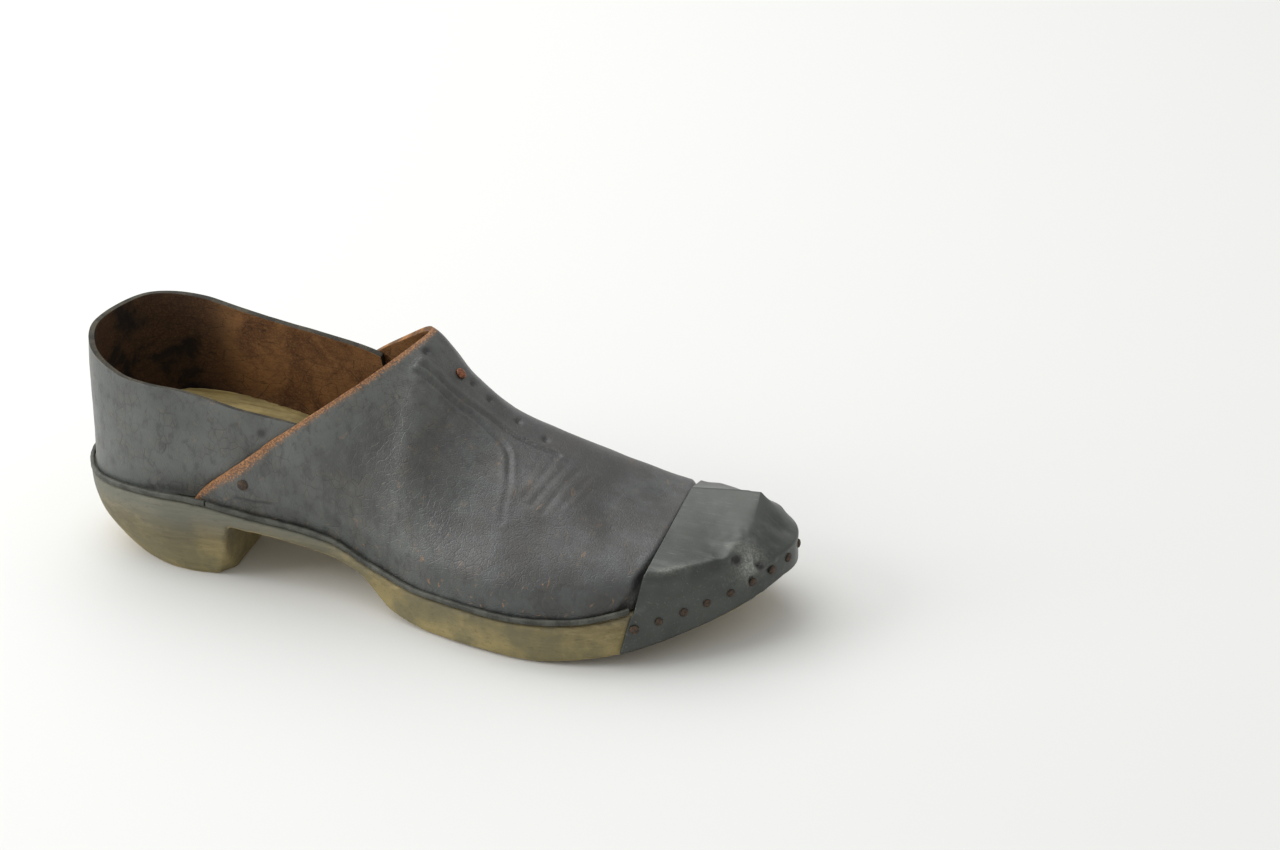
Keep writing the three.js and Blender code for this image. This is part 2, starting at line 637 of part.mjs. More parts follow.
function capNails() {
  const [start, end] = [shareAt(capLowX + CAP_NAIL_START, true), shareAt(capLowX + CAP_NAIL_START, false)];
  return Array.from({ length: CAP_NAILS }, (_, i) => {
    const t = lerp(start, end, i / (CAP_NAILS - 1));
    const out = outwardNormal(t);
    const at = outlinePoint(t, capInset - GAP);
    const x = outlinePoint(t).x;
    at.z = lerp(undersideZ(Math.min(x, LENGTH - 1), at.y), featherZ(x), NAIL_LEVEL);
    return { name: "cap_nail_" + (i + 1), matrix: pose(at, out) };
  });
}

function undersideNormal(x, y) {
  const step = 1;
  const slopeX = (undersideZ(x + step, y) - undersideZ(x - step, y)) / (2 * step);
  return new THREE.Vector3(slopeX, 0, -1).normalize();
}

function hobnails() {
  const nails = [];
  const [start, end] = [shareAt(BALL_X - HOBNAIL_START, true), shareAt(BALL_X - HOBNAIL_START, false)];
  for (let i = 0; i < HOBNAILS; i++) {
    const t = lerp(start, end, i / (HOBNAILS - 1));
    const at = outlinePoint(t, HOBNAIL_INSET);
    const out = undersideNormal(at.x, at.y);
    at.z = undersideZ(at.x, at.y);
    at.addScaledVector(out, HOBNAIL_STAND - HEAD_RISE);
    nails.push({ name: "hobnail_" + (i + 1), matrix: pose(at, out) });
  }
  return nails;
}

function heelNails() {
  const first = HEEL_LENGTH - HEEL_NAIL_START;
  const [start, end] = [shareAt(first, true), shareAt(first, false) - 1];
  return Array.from({ length: HEEL_NAILS }, (_, i) => {
    const t = lerp(start, end, i / (HEEL_NAILS - 1));
    const x = outlinePoint(t).x;
    const at = outlinePoint(t, groundInset(x) + HEEL_NAIL_INSET);
    at.z = HEAD_RISE + HEEL_NAIL_SINK;
    return { name: "heel_nail_" + (i + 1), matrix: pose(at, new THREE.Vector3(0, 0, -1)) };
  });
}

// The upper's outward normal at a point of a section.
function upperNormal(x, v) {
  const along = upperPoint(x + 1, v, leatherInset).sub(upperPoint(x - 1, v, leatherInset));
  const [low, high] = [Math.max(v - 0.01, 0), Math.min(v + 0.01, 1)];
  const across = upperPoint(x, high, leatherInset).sub(upperPoint(x, low, leatherInset));
  return along.cross(across).normalize();
}

function rivets() {
  const rivet = (name, x, v) => {
    const out = upperNormal(x, v);
    const at = upperPoint(x, v, leatherInset).addScaledVector(out, 2 * GAP);
    return { name, matrix: pose(at, out) };
  };
  return [
    rivet("instep_rivet", THROAT_X + INSTEP_RIVET, INSTEP_RIVET_V),
    rivet("tip_rivet_lateral", TIP_X + TIP_RIVET, TIP_RIVET_V),
    rivet("tip_rivet_medial", TIP_X + TIP_RIVET, 1 - TIP_RIVET_V),
  ];
}

// ---- materials ----------------------------------------------------------------------------------------
const wood = new THREE.MeshStandardMaterial({ color: 0xa58d5c, roughness: 0.75, metalness: 0 });
const leather = new THREE.MeshStandardMaterial({ color: 0x3a3c38, roughness: 0.45, metalness: 0 });
const sheetIron = new THREE.MeshStandardMaterial({ color: 0x45484a, roughness: 0.4, metalness: 0.7 });
const nailIron = new THREE.MeshStandardMaterial({ color: 0x4f3a2c, roughness: 0.7, metalness: 0.6 });
const copper = new THREE.MeshStandardMaterial({ color: 0x8a5238, roughness: 0.55, metalness: 0.7 });

// ---- assembly -----------------------------------------------------------------------------------------
const clog = new THREE.Group();
function add(name, geometry, material) {
  const mesh = new THREE.Mesh(geometry, material.clone());
  mesh.name = name;
  clog.add(mesh);
}

const capNailGeometry = nailGeometry(CAP_NAIL_HEAD, HEAD_RISE, NAIL_LENGTH);
const hobnailGeometry = nailGeometry(HOBNAIL_HEAD, HEAD_RISE, NAIL_LENGTH);
const allCapNails = capNails();
const allHobnails = hobnails();
const allHeelNails = heelNails();

let sole = solid(wholeBlock()).subtract(solid(undercut()));
for (const nail of [...allCapNails, ...allHobnails, ...allHeelNails])
  sole = sole.subtract(posed(shankHole(NAIL_LENGTH), nail));
for (const nail of [...allHobnails, ...allHeelNails])
  sole = sole.subtract(posed(headSeat(HOBNAIL_HEAD, HEAD_RISE), nail));
add("sole", geometryOf(sole), wood);

const allRivets = rivets();
let vamp = solid(vampGeometry());
let quarter = solid(quarterGeometry());
for (const rivet of allRivets) {
  vamp = vamp.subtract(posed(shankHole(RIVET_LENGTH), rivet));
  quarter = quarter.subtract(posed(shankHole(RIVET_LENGTH), rivet));
}
add("vamp", geometryOf(vamp), leather);
add("back_quarter", geometryOf(quarter), leather);

let cap = solid(capGeometry());
for (const nail of allCapNails) cap = cap.subtract(posed(shankHole(NAIL_LENGTH), nail));
add("toe_cap", geometryOf(cap), sheetIron);

const randFront = capLowX + CAP_SWEEP * CAP_FOOT_SWEEP - 2 * GAP;
const [randEnd, randEndMedial] = [shareAt(randFront, true), shareAt(randFront, false)];
const [tipLateral, tipMedial] = [shareAt(TIP_X + 6, true), shareAt(TIP_X + 6, false)];
add("heel_rand", randGeometry(tipMedial - 1 + GAP / perimeter, tipLateral - GAP / perimeter), leather);
add("vamp_rand_lateral", randGeometry(tipLateral + GAP / perimeter, randEnd), leather);
add("vamp_rand_medial", randGeometry(randEndMedial, tipMedial - GAP / perimeter), leather);

for (const nail of allCapNails) add(nail.name, capNailGeometry.clone().applyMatrix4(nail.matrix), nailIron);
const rivetGeometry = nailGeometry(RIVET_HEAD, HEAD_RISE, RIVET_LENGTH);
for (const rivet of allRivets) {
  const metal = rivet.name === "instep_rivet" ? copper : nailIron;
  add(rivet.name, rivetGeometry.clone().applyMatrix4(rivet.matrix), metal);
}
for (const nail of [...allHobnails, ...allHeelNails])
  add(nail.name, hobnailGeometry.clone().applyMatrix4(nail.matrix), nailIron);

const box = new THREE.Box3().setFromObject(clog, true);
clog.position.set(-(box.min.x + box.max.x) / 2, -(box.min.y + box.max.y) / 2, -box.min.z);

export default clog;
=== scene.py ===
import math
import random

import bmesh
import bpy
import numpy as np
from mathutils import Euler, Matrix, Vector, noise


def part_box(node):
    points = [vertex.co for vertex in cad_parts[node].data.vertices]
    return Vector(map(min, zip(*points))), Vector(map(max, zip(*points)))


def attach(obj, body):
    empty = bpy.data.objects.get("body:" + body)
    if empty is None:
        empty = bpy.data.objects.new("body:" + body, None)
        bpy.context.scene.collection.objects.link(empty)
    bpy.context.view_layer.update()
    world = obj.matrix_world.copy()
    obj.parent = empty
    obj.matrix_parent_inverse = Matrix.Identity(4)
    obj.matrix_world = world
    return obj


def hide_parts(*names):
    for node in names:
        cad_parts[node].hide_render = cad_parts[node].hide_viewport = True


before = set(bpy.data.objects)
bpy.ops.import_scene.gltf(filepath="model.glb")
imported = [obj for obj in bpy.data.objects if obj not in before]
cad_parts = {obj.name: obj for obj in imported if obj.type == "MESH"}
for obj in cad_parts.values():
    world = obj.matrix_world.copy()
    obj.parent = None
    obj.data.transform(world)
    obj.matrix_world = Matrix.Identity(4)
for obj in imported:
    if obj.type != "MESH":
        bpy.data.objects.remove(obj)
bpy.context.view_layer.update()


# ---- the wooden sole ------------------------------------------------------------------------------
# Sole and heel are carved from one block of alder or willow: a heel with a straight breast, a thinned
# shank, a flat tread and a lifted toe. A step is cut round the top edge, where the leather is nailed on,
# and the footbed inside it is hollowed a little. It is bare wood, darkened by handling and mud.
MM = 0.001
LENGTH = 271.0  # millimetres, heel back to toe tip
HEEL_WIDTH = 71.0
WAIST_WIDTH = 71.0
BALL_WIDTH = 98.0
TOE_WIDTH = 62.0
HEEL_LENGTH = 63.0
WAIST_X = 112.0  # where the sole is narrowest
BALL_X = 168.0  # where it touches the ground in front
SEAT_HEIGHT = 32.0  # ground to the feather edge, where the leather meets the wood, at the heel
SOLE_EDGE = 14.0
SHANK_EDGE = 3.5
TOE_SPRING = 19.0
TOE_EDGE = 11.0
SHANK_KEEL = 5.0
HEEL_TAPER = 4.0
HEEL_RAKE = 13.0
BREAST_RAKE = 3.5
FOOTBED_DISH = 3.0
LEATHER = 2.2
GAP = 0.3
LAP_GAP = 0.5
RAND_THICKNESS = 1.6
REBATE_HEIGHT = 5.5  # the step is this high at the ball
HEEL_REBATE = 13.5  # and this high under the heel
WALL_ROUND = 2.3  # how late the wall turns in towards the ground
LAP_BLEND = 30.0  # the quarter draws in under the vamp over this length
TOE_SETBACK = 9.0
TUCK_IN = 2.0
TIP_X = 53.0  # rear tips of the vamp
LAP_LENGTH = 55.0  # how far the back quarter runs forward inside the vamp
CAP_LENGTH = 40.0
CAP_SWEEP = 9.0
RIDGE_Y = 10.0  # the instep ridge lies this far to the inner side
MEDIAL_SHARE = 0.42
GRAIN_VOXEL = 0.85  # fineness of the carved surface
STEP_DRAFT = 1.2  # the wall of the step leans in by this much
TOE_STEP_CUT = 0.85  # the step loses this share of its height towards the toe
SPINE_END = 30.0  # the middle line of the sole stops this far from the toe
HEEL_SINK = 5.0  # the heel block runs up to this far below the seat
BREAST_ROOT = 20.0  # the slope of the breast is measured from this far below the ground
CURVED_SHARE = 0.8  # this share of the heel's outline runs round its back
# the sole's levels, as shares of the way from the middle of its underside to the middle of its top
UNDERSIDE_END = 0.3
FEATHER_EDGE = 0.5
STEP_FOOT = 0.56
STEP_TOP = 0.62

CAP_REAR_X = LENGTH - CAP_LENGTH
CAP_LOW_X = CAP_REAR_X - CAP_SWEEP
LAP_FRONT = TIP_X + LAP_LENGTH
LEATHER_INSET = RAND_THICKNESS + GAP  # the upper's outer face, in from the sole's outline


def lerp(a, b, part):
    return a + (b - a) * part


def smoothstep(x, low, high):
    part = np.clip((x - low) / (high - low), 0, 1)
    return part * part * (3 - 2 * part)


def fore(part):
    return lerp(BALL_X, LENGTH, part)


def bell(away, breadth):
    """1 at no distance, falling off smoothly over the breadth."""
    return np.exp(-((away / breadth) ** 2))


def distance(points, spot):
    return np.linalg.norm(points - spot, axis=1)


def line(*points):
    """A smooth z(x) through the points, which rises and falls only as they do."""
    xs, zs = np.array(points, float).T
    slope = np.diff(zs) / np.diff(xs)
    before, after = slope[:-1], slope[1:]
    same_way = before * after > 0
    inner = np.where(same_way, 2 * before * after / np.where(same_way, before + after, 1), 0)
    tangent = np.concatenate([slope[:1], inner, slope[-1:]])

    def height(x):
        x = np.clip(x, xs[0], xs[-1])
        i = np.clip(np.searchsorted(xs, x, "right") - 1, 0, len(xs) - 2)
        width = xs[i + 1] - xs[i]
        t = (x - xs[i]) / width
        rise = zs[i + 1] - zs[i]
        m0, m1 = tangent[i] * width, tangent[i + 1] * width
        return zs[i] + t * (m0 + t * (3 * rise - 2 * m0 - m1 + t * (m0 + m1 - 2 * rise)))

    return height


def closed_curve(points, steps):
    """A closed centripetal Catmull-Rom curve through plan points."""
    points = np.array(points, float)
    w = np.linspace(0, 1, steps, endpoint=False)[:, None]
    pieces = []
    for i in range(len(points)):
        p0, p1, p2, p3 = (points[(i + k) % len(points)] for k in (-1, 0, 1, 2))
        d0, d1, d2 = (np.sqrt(np.linalg.norm(b - a)) for a, b in ((p0, p1), (p1, p2), (p2, p3)))
        m1 = ((p1 - p0) / d0 - (p2 - p0) / (d0 + d1) + (p2 - p1) / d1) * d1
        m2 = ((p2 - p1) / d1 - (p3 - p1) / (d1 + d2) + (p3 - p2) / d2) * d1
        pieces.append(p1 + w * (m1 + w * (3 * (p2 - p1) - 2 * m1 - m2 + w * (m1 + m2 - 2 * (p2 - p1)))))
    curve = np.vstack(pieces)
    return np.vstack([curve, curve[:1]])


heel_radius = HEEL_WIDTH / 2
lateral_ball = BALL_WIDTH * (1 - MEDIAL_SHARE)
medial_ball = BALL_WIDTH * MEDIAL_SHARE
plan = closed_curve(
    [
        (0, 0),
        (heel_radius * (1 - math.sqrt(0.5)), -heel_radius * math.sqrt(0.5)),
        (heel_radius, -heel_radius),
        (HEEL_LENGTH, -heel_radius),
        (WAIST_X, -WAIST_WIDTH / 2),
        (lerp(WAIST_X, BALL_X, 0.65), -lerp(WAIST_WIDTH / 2, lateral_ball, 0.62)),
        (fore(0.2), -lateral_ball),
        (fore(0.52), -lerp(lateral_ball, TOE_WIDTH / 2, 0.25)),
        (fore(0.75), -TOE_WIDTH / 2 - 2),
        (fore(0.91), -TOE_WIDTH / 4 - 1),
        (LENGTH, 5),
        (fore(0.94), TOE_WIDTH / 3),
        (fore(0.79), TOE_WIDTH / 2 - 2),
        (fore(0.53), lerp(medial_ball, TOE_WIDTH / 2, 0.35)),
        (fore(0.16), medial_ball),
        (lerp(WAIST_X, BALL_X, 0.5), lerp(WAIST_WIDTH / 2, medial_ball, 0.6)),
        (lerp(HEEL_LENGTH, WAIST_X, 0.7), WAIST_WIDTH / 2),
        (HEEL_LENGTH, heel_radius),
        (heel_radius, heel_radius),
        (heel_radius * (1 - math.sqrt(0.5)), heel_radius * math.sqrt(0.5)),
    ],
    80,
)
walked = np.concatenate([[0], np.cumsum(np.linalg.norm(np.diff(plan, axis=0), axis=1))])
PERIMETER = walked[-1]
turns = walked / PERIMETER
toe = int(np.argmax(plan[:, 0]))

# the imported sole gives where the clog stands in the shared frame
sole_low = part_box("sole")[0]
shift = np.array([sole_low.x / MM - plan[:, 0].min(), sole_low.y / MM - plan[:, 1].min(), 0.0])


def outline(turn, inset=0.0):
    """The sole's outline at a share of the way round, from the heel back by the outer side, drawn in."""
    def at(t):
        t = np.mod(t, 1.0)
        return np.stack([np.interp(t, turns, plan[:, 0]), np.interp(t, turns, plan[:, 1])], -1)

    step = 0.75 / PERIMETER
    ahead = at(turn + step) - at(turn - step)
    ahead = ahead / np.linalg.norm(ahead, axis=-1, keepdims=True)
    inward = np.stack([-ahead[..., 1], ahead[..., 0]], -1)
    return at(turn) + inward * np.asarray(inset)[..., None]


def turn_at(x, lateral):
    """The share of the way round at which one side of the outline passes x."""
    if lateral:
        return np.interp(x, plan[: toe + 1, 0], turns[: toe + 1])
    return np.interp(x, plan[toe:, 0][::-1], turns[toe:][::-1])


def edge_y(x, lateral):
    near = np.interp(x, plan[: toe + 1, 0], plan[: toe + 1, 1])
    far = np.interp(x, plan[toe:, 0][::-1], plan[toe:, 1][::-1])
    return np.where(lateral, near, far)


feather_z = line(
    (0, SEAT_HEIGHT - 1.5),
    (0.7 * HEEL_LENGTH, SEAT_HEIGHT),
    (1.2 * HEEL_LENGTH, lerp(SOLE_EDGE, SEAT_HEIGHT, 0.77)),
    (0.95 * WAIST_X, lerp(SOLE_EDGE, SEAT_HEIGHT, 0.5)),
    (lerp(WAIST_X, BALL_X, 0.22), lerp(SOLE_EDGE, SEAT_HEIGHT, 0.18)),
    (lerp(WAIST_X, BALL_X, 0.65), SOLE_EDGE + 0.8),
    (fore(0.1), SOLE_EDGE + 1),
    (fore(0.35), lerp(SOLE_EDGE, TOE_SPRING + TOE_EDGE, 0.16)),
    (fore(0.6), lerp(SOLE_EDGE, TOE_SPRING + TOE_EDGE, 0.5)),
    (LENGTH, TOE_SPRING + TOE_EDGE),
)
TREAD_RISE = 0.6
SHANK_TOP = SEAT_HEIGHT - SHANK_EDGE - 4
under_edge_z = line(
    (HEEL_LENGTH, SHANK_TOP),
    (0.9 * WAIST_X, 0.6 * SEAT_HEIGHT),
    (lerp(WAIST_X, BALL_X, 0.1), 0.46 * SEAT_HEIGHT),
    (lerp(WAIST_X, BALL_X, 0.4), TREAD_RISE + 2.5),
    (lerp(WAIST_X, BALL_X, 0.7), TREAD_RISE),
    (fore(0.2), TREAD_RISE),
    (fore(0.45), lerp(TREAD_RISE, TOE_SPRING, 0.16)),
    (fore(0.75), lerp(TREAD_RISE, TOE_SPRING, 0.5)),
    (LENGTH, TOE_SPRING),
)
keel_depth = line((HEEL_LENGTH, SHANK_KEEL), (WAIST_X, SHANK_KEEL), (lerp(WAIST_X, BALL_X, 0.7), 0))


def underside_z(x, y):
    width = np.maximum(np.abs(edge_y(x, y < 0)), 1)
    across = np.clip(np.abs(y) / width, 0, 1)
    return under_edge_z(x) - keel_depth(x) * (1 - across**2)


def rebate_inset(x):
    lap = smoothstep(x, TIP_X - LAP_BLEND, TIP_X - 2) * (1 - smoothstep(x, LAP_FRONT + 2, LAP_FRONT + 12))
    under_cap = TUCK_IN * smoothstep(x, CAP_LOW_X - 12, CAP_LOW_X - 5)
    toe_part = TOE_SETBACK * smoothstep(x, CAP_REAR_X, LENGTH)
    return LEATHER_INSET + LEATHER + 2 * GAP + lap * (LEATHER + LAP_GAP) + toe_part + under_cap


def ground_inset(x):
    heel = 1 - smoothstep(x, HEEL_LENGTH, WAIST_X)
    back = np.clip(1 - x / (0.85 * HEEL_LENGTH), 0, 1) ** 1.5
    return 1 + HEEL_TAPER * heel + HEEL_RAKE * back


def settled(points):
    """Points of the clog in millimetres, from the heel back, in the frame's metres."""
    return (np.asarray(points) + shift) * MM


def skin(place, columns, rows, wrap=False):
    """A grid whose vertices are moved to place(u, v), both from 0 to 1; wrap closes it in u."""
    bm = bmesh.new()
    bmesh.ops.create_grid(bm, x_segments=columns, y_segments=rows, size=0.5)
    flat = np.array([v.co for v in bm.verts])
    spots = settled(place(flat[:, 0] + 0.5, flat[:, 1] + 0.5))
    for vert, spot in zip(bm.verts, spots):
        vert.co = spot
    if wrap:
        bmesh.ops.remove_doubles(bm, verts=bm.verts, dist=0.02 * MM)
    bmesh.ops.dissolve_degenerate(bm, dist=0.001 * MM, edges=bm.edges)
    bm.normal_update()
    return bm


def close_ends(bm):
    rim = [edge for edge in bm.edges if edge.is_boundary]
    bmesh.ops.holes_fill(bm, edges=rim, sides=0)
    bmesh.ops.recalc_face_normals(bm, faces=bm.faces)


def piece(bm, name, materials, smooth=True):
    """A bmesh as a named object at the origin, with its materials."""
    mesh = bpy.data.meshes.new(name)
    bm.to_mesh(mesh)
    bm.free()
    for material in materials:
        mesh.materials.append(material)
    mesh.polygons.foreach_set("use_smooth", [smooth] * len(mesh.polygons))
    made = bpy.data.objects.new(name, mesh)
    bpy.context.scene.collection.objects.link(made)
    return made


def rumple(point, size, seed=0.0):
    """Smooth noise from -1 to 1 whose bumps are about size millimetres across."""
    return noise.noise(Vector(point) / size + Vector((seed, 3.1 * seed, 7.7 * seed)))


def sculpt(bm, depth_at):
    """Moves every vertex out along its normal by depth_at(clog points), in millimetres."""
    bm.normal_update()
    points = np.array([v.co for v in bm.verts]) / MM - shift
    for vert, depth in zip(bm.verts, depth_at(points)):
        vert.co += vert.normal * float(depth) * MM


class Wire:
    """A socket of a material's node tree. Arithmetic on it adds Math nodes."""

    def __init__(self, tree, socket=None):
        self.tree = tree
        self.socket = socket

    def node(self, kind, settings=None, inputs=None, output=0):
        made = self.tree.nodes.new(kind)
        for name, value in (settings or {}).items():
            setattr(made, name, value)
        for name, value in (inputs or {}).items():
            if isinstance(value, Wire):
                self.tree.links.new(value.socket, made.inputs[name])
            else:
                made.inputs[name].default_value = value
        return Wire(self.tree, made.outputs[output])

    def math(self, operation, *values):
        return self.node("ShaderNodeMath", {"operation": operation}, dict(enumerate(values)))

    def __add__(self, other):
        return self.math("ADD", self, other)

    def __sub__(self, other):
        return self.math("SUBTRACT", self, other)

    def __rsub__(self, other):
        return self.math("SUBTRACT", other, self)

    def __mul__(self, other):
        return self.math("MULTIPLY", self, other)

    __radd__ = __add__
    __rmul__ = __mul__

    def step(self, low, high):
        """0 below low and 1 above high, with a smooth rise between."""
        inputs = {"Value": self, "From Min": low, "From Max": high}
        return self.node("ShaderNodeMapRange", {"interpolation_type": "SMOOTHSTEP"}, inputs)

    def mix(self, first, second):
        """first where this is 0 and second where it is 1, as colours."""
        return self.node("ShaderNodeMix", {"data_type": "RGBA"}, {0: self, 6: first, 7: second}, 2)

    def noise(self, scale, detail=4.0, rough=0.55, warp=0.0):
        inputs = {"Vector": self, "Scale": scale, "Detail": detail, "Roughness": rough, "Distortion": warp}
        return self.node("ShaderNodeTexNoise", None, inputs)

    def cracks(self, scale):
        """Distance to the nearest border between cells, so that 0 draws a net of cracks."""
        inputs = {"Vector": self, "Scale": scale}
        return self.node("ShaderNodeTexVoronoi", {"feature": "DISTANCE_TO_EDGE"}, inputs)

    def stretched(self, x, y, z):
        return self.node("ShaderNodeMapping", None, {"Vector": self, "Scale": (x, y, z)})

    def bump(self, strength, depth):
        inputs = {"Height": self, "Strength": strength, "Distance": depth}
        return self.node("ShaderNodeBump", None, inputs)


def finish(name):
    """A new material, its principled shader, and the place in the object's own frame in millimetres."""
    material = bpy.data.materials.new(name)
    material.use_nodes = True
    tree = Wire(material.node_tree)
    shader = material.node_tree.nodes["Principled BSDF"]
    metres = tree.node("ShaderNodeTexCoord", None, None, 3)
    place = tree.node("ShaderNodeVectorMath", {"operation": "SCALE"}, {0: metres, "Scale": 1 / MM})
    return material, shader, place


def feed(shader, **values):
    """Links or sets the shader's sockets."""
    for name, value in values.items():
        socket = shader.inputs[name.replace("_", " ")]
        if isinstance(value, Wire):
            value.tree.links.new(value.socket, socket)
        else:
            socket.default_value = value


def axis(vector, index):
    return vector.node("ShaderNodeSeparateXYZ", None, {0: vector}, index)


def marked(place, name):
    """The amount that mark() has stored under this name."""
    return place.node("ShaderNodeAttribute", {"attribute_name": name}, None, 2)


def tint(red, green, blue):
    """A colour from its screen values, 0 to 255."""
    def linear(part):
        part /= 255
        return part / 12.92 if part <= 0.04045 else ((part + 0.055) / 1.055) ** 2.4

    return (linear(red), linear(green), linear(blue), 1)


def mark(made, name, amount_at):
    """Stores an amount from 0 to 1 at each vertex: bed is the footbed, worn is rubbed bare (on the toe cap
    it also holds a painted highlight above the side crease), and pit is painted shade, the near black of a
    hole, a tooled groove or a crack."""
    points = np.array([v.co for v in made.data.vertices]) / MM - shift
    layer = made.data.attributes.new(name, "FLOAT", "POINT")
    layer.data.foreach_set("value", np.asarray(amount_at(points), np.float32))


def wood_finish():
    material, shader, place = finish("alder")
    fibre = place.stretched(0.035, 0.55, 0.55).noise(1.0, 6, 0.65, 0.6)
    figure = place.stretched(0.006, 0.11, 0.11).noise(1.0, 3, 0.5, 1.4)
    pores = place.stretched(0.12, 1.9, 1.9).noise(1.0, 3, 0.7)
    smudge = place.noise(0.045, 5, 0.6)
    speck = place.noise(0.5, 4, 0.7)
    facing_up = axis(place.node("ShaderNodeNewGeometry", None, None, 1), 2)
    height = axis(place, 2)
    below = 1 - facing_up.step(-0.75, -0.35)
    bed = marked(place, "bed")
    side = fibre.step(0.3, 0.7).mix(tint(98, 88, 60), tint(140, 126, 90))
    side = figure.step(0.42, 0.62).mix(side, tint(112, 100, 68))
    light = fibre.step(0.3, 0.72).mix(tint(158, 134, 84), tint(201, 180, 126))
    light = figure.step(0.4, 0.65).mix(light, tint(176, 152, 98))
    straw = fibre.step(0.3, 0.7).mix(tint(142, 122, 72), tint(190, 172, 118))
    colour = below.mix(side, light)
    colour = bed.mix(colour, straw)
    foot = (1 - height.step(4, 20)) * (1 - bed) * (1 - below)
    colour = (foot * 0.6).mix(colour, tint(156, 142, 94))
    grime = smudge.step(0.42, 0.62) * (1 - below * 0.6) * (1 - bed * 0.5)
    colour = (grime * 0.6).mix(colour, tint(84, 84, 70))
    bruise = (speck.step(0.6, 0.74) * 0.45).mix(colour, tint(64, 50, 30))
    heel_grey = (height.step(15, 29) * (1 - bed) * (1 - below) * 0.8).mix(bruise, tint(104, 106, 98))
    colour = (pores.step(0.56, 0.7) * 0.4).mix(heel_grey, tint(70, 56, 32))
    relief = fibre * 0.5 + pores * 0.35 + speck * 0.3
    feed(
        shader,
        Base_Color=colour,
        Roughness=0.5 + smudge * 0.3,
        Specular_IOR_Level=0.35,
        Normal=relief.bump(0.55, 0.0005),
    )
    return material


wood = wood_finish()


def plank_at(u, v):
    """The sole without its heel: v runs from the middle of the underside round the edge to the footbed."""
    x = outline(u)[:, 0]
    feather = feather_z(x)
    spine = np.stack([np.clip(x, heel_radius, LENGTH - SPINE_END), np.full_like(x, RIDGE_Y * 0.4)], -1)
    level = 1 - under_edge_z(np.minimum(x, LENGTH)) / feather
    down = np.interp(v, [UNDERSIDE_END, FEATHER_EDGE], [1, 0]) * level
    spot = outline(u, ground_inset(x) * down**WALL_ROUND)
    z = feather * (1 - down)
    # underside
    below = v < UNDERSIDE_END
    part = 0.95 * (1 - v / UNDERSIDE_END)[:, None]
    spot = np.where(below[:, None], spot * (1 - part) + spine * part, spot)
    z = np.where(below, underside_z(spot[:, 0], spot[:, 1]), z)
    # the step round the footbed
    inset = np.interp(v, [FEATHER_EDGE, STEP_FOOT, STEP_TOP], [0, 1, 1]) * rebate_inset(x)
    inset = inset + np.interp(v, [STEP_FOOT, STEP_TOP], [0, STEP_DRAFT])
    shelf = v > FEATHER_EDGE
    spot = np.where(shelf[:, None], outline(u, inset), spot)
    lift = lerp(HEEL_REBATE, REBATE_HEIGHT, smoothstep(x, HEEL_LENGTH, BALL_X))
    lift = lift * (1 - TOE_STEP_CUT * smoothstep(x, CAP_REAR_X, LENGTH))
    z = np.where(shelf, feather_z(spot[:, 0]) + np.interp(v, [STEP_FOOT, STEP_TOP], [0, 1]) * lift, z)
    # the dished footbed
    part = 0.95 * np.interp(v, [STEP_TOP, 1], [0, 1])
    spot = spot * (1 - part[:, None]) + spine * part[:, None]
    z = z - FOOTBED_DISH * smoothstep(part, 0, 0.7)
    return np.column_stack([spot, z])


def heel_at(u, v):
    """The heel as a D-shaped block: u runs round its back, then straight across the breast."""
    z = v * (SEAT_HEIGHT - HEEL_SINK)
    breast = HEEL_LENGTH + BREAST_RAKE * (z + BREAST_ROOT) / (SHANK_TOP + BREAST_ROOT)
    start, end = turn_at(breast, False) - 1, turn_at(breast, True)
    turn = lerp(start, end, np.clip(u / CURVED_SHARE, 0, 1))
    x = outline(turn)[:, 0]
    down = 1 - z / feather_z(x)
    spot = outline(turn, ground_inset(x) * down**WALL_ROUND)
    spot[:, 0] = np.minimum(spot[:, 0], breast)
    first = outline(start, ground_inset(breast) * down**WALL_ROUND)
    across = np.clip((u - CURVED_SHARE) / (1 - CURVED_SHARE), 0, 1)[:, None]
    spot = np.where(across > 0, spot * (1 - across) + first * across, spot)
    return np.column_stack([spot, z])


def plane_off(bm, corner, facing, reach=14.0):
    """Pares away what stands beyond a plane near a corner, as wear does."""
    facing = Vector(facing).normalized()
    corner = Vector(settled(corner))
    for vert in bm.verts:
        proud = (vert.co - corner).dot(facing)
        if proud > 0 and (vert.co - corner).length < reach * MM:
            vert.co -= facing * proud


carved = skin(plank_at, 400, 100, wrap=True)
close_ends(carved)
block = skin(heel_at, 260, 40, wrap=True)
close_ends(block)
block_mesh = bpy.data.meshes.new("heel_block")
block.to_mesh(block_mesh)
block.free()
carved.from_mesh(block_mesh)
bpy.data.meshes.remove(block_mesh)
rough_sole = piece(carved, "rough_sole", [])
carving = rough_sole.modifiers.new("carving", "REMESH")
carving.mode = "VOXEL"
carving.voxel_size = GRAIN_VOXEL * MM
shaped = bmesh.new()
shaped.from_object(rough_sole, bpy.context.evaluated_depsgraph_get())
bpy.data.objects.remove(rough_sole)
plane_off(shaped, (60.5, -30.5, 1.5), (0.72, -0.5, -0.5))
plane_off(shaped, (62.5, 31.5, 1.0), (0.6, 0.6, -0.5))
plane_off(shaped, (8, -22, 2.5), (-0.55, -0.35, -0.75))
for _ in range(4):
    bmesh.ops.smooth_vert(
        shaped, verts=shaped.verts, factor=0.5, use_axis_x=True, use_axis_y=True, use_axis_z=True
    )


def tool_marks(points):
    return [0.22 * rumple(p, 26, 1) + 0.14 * rumple((p[0] / 2.2, p[1], p[2]), 6, 2) for p in points]


sculpt(shaped, tool_marks)
sole = piece(shaped, "wooden_sole", [wood])
mark(sole, "bed", lambda points: smoothstep(points[:, 2] - feather_z(points[:, 0]), 1.5, 3.0))
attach(sole, "root")
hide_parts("sole")


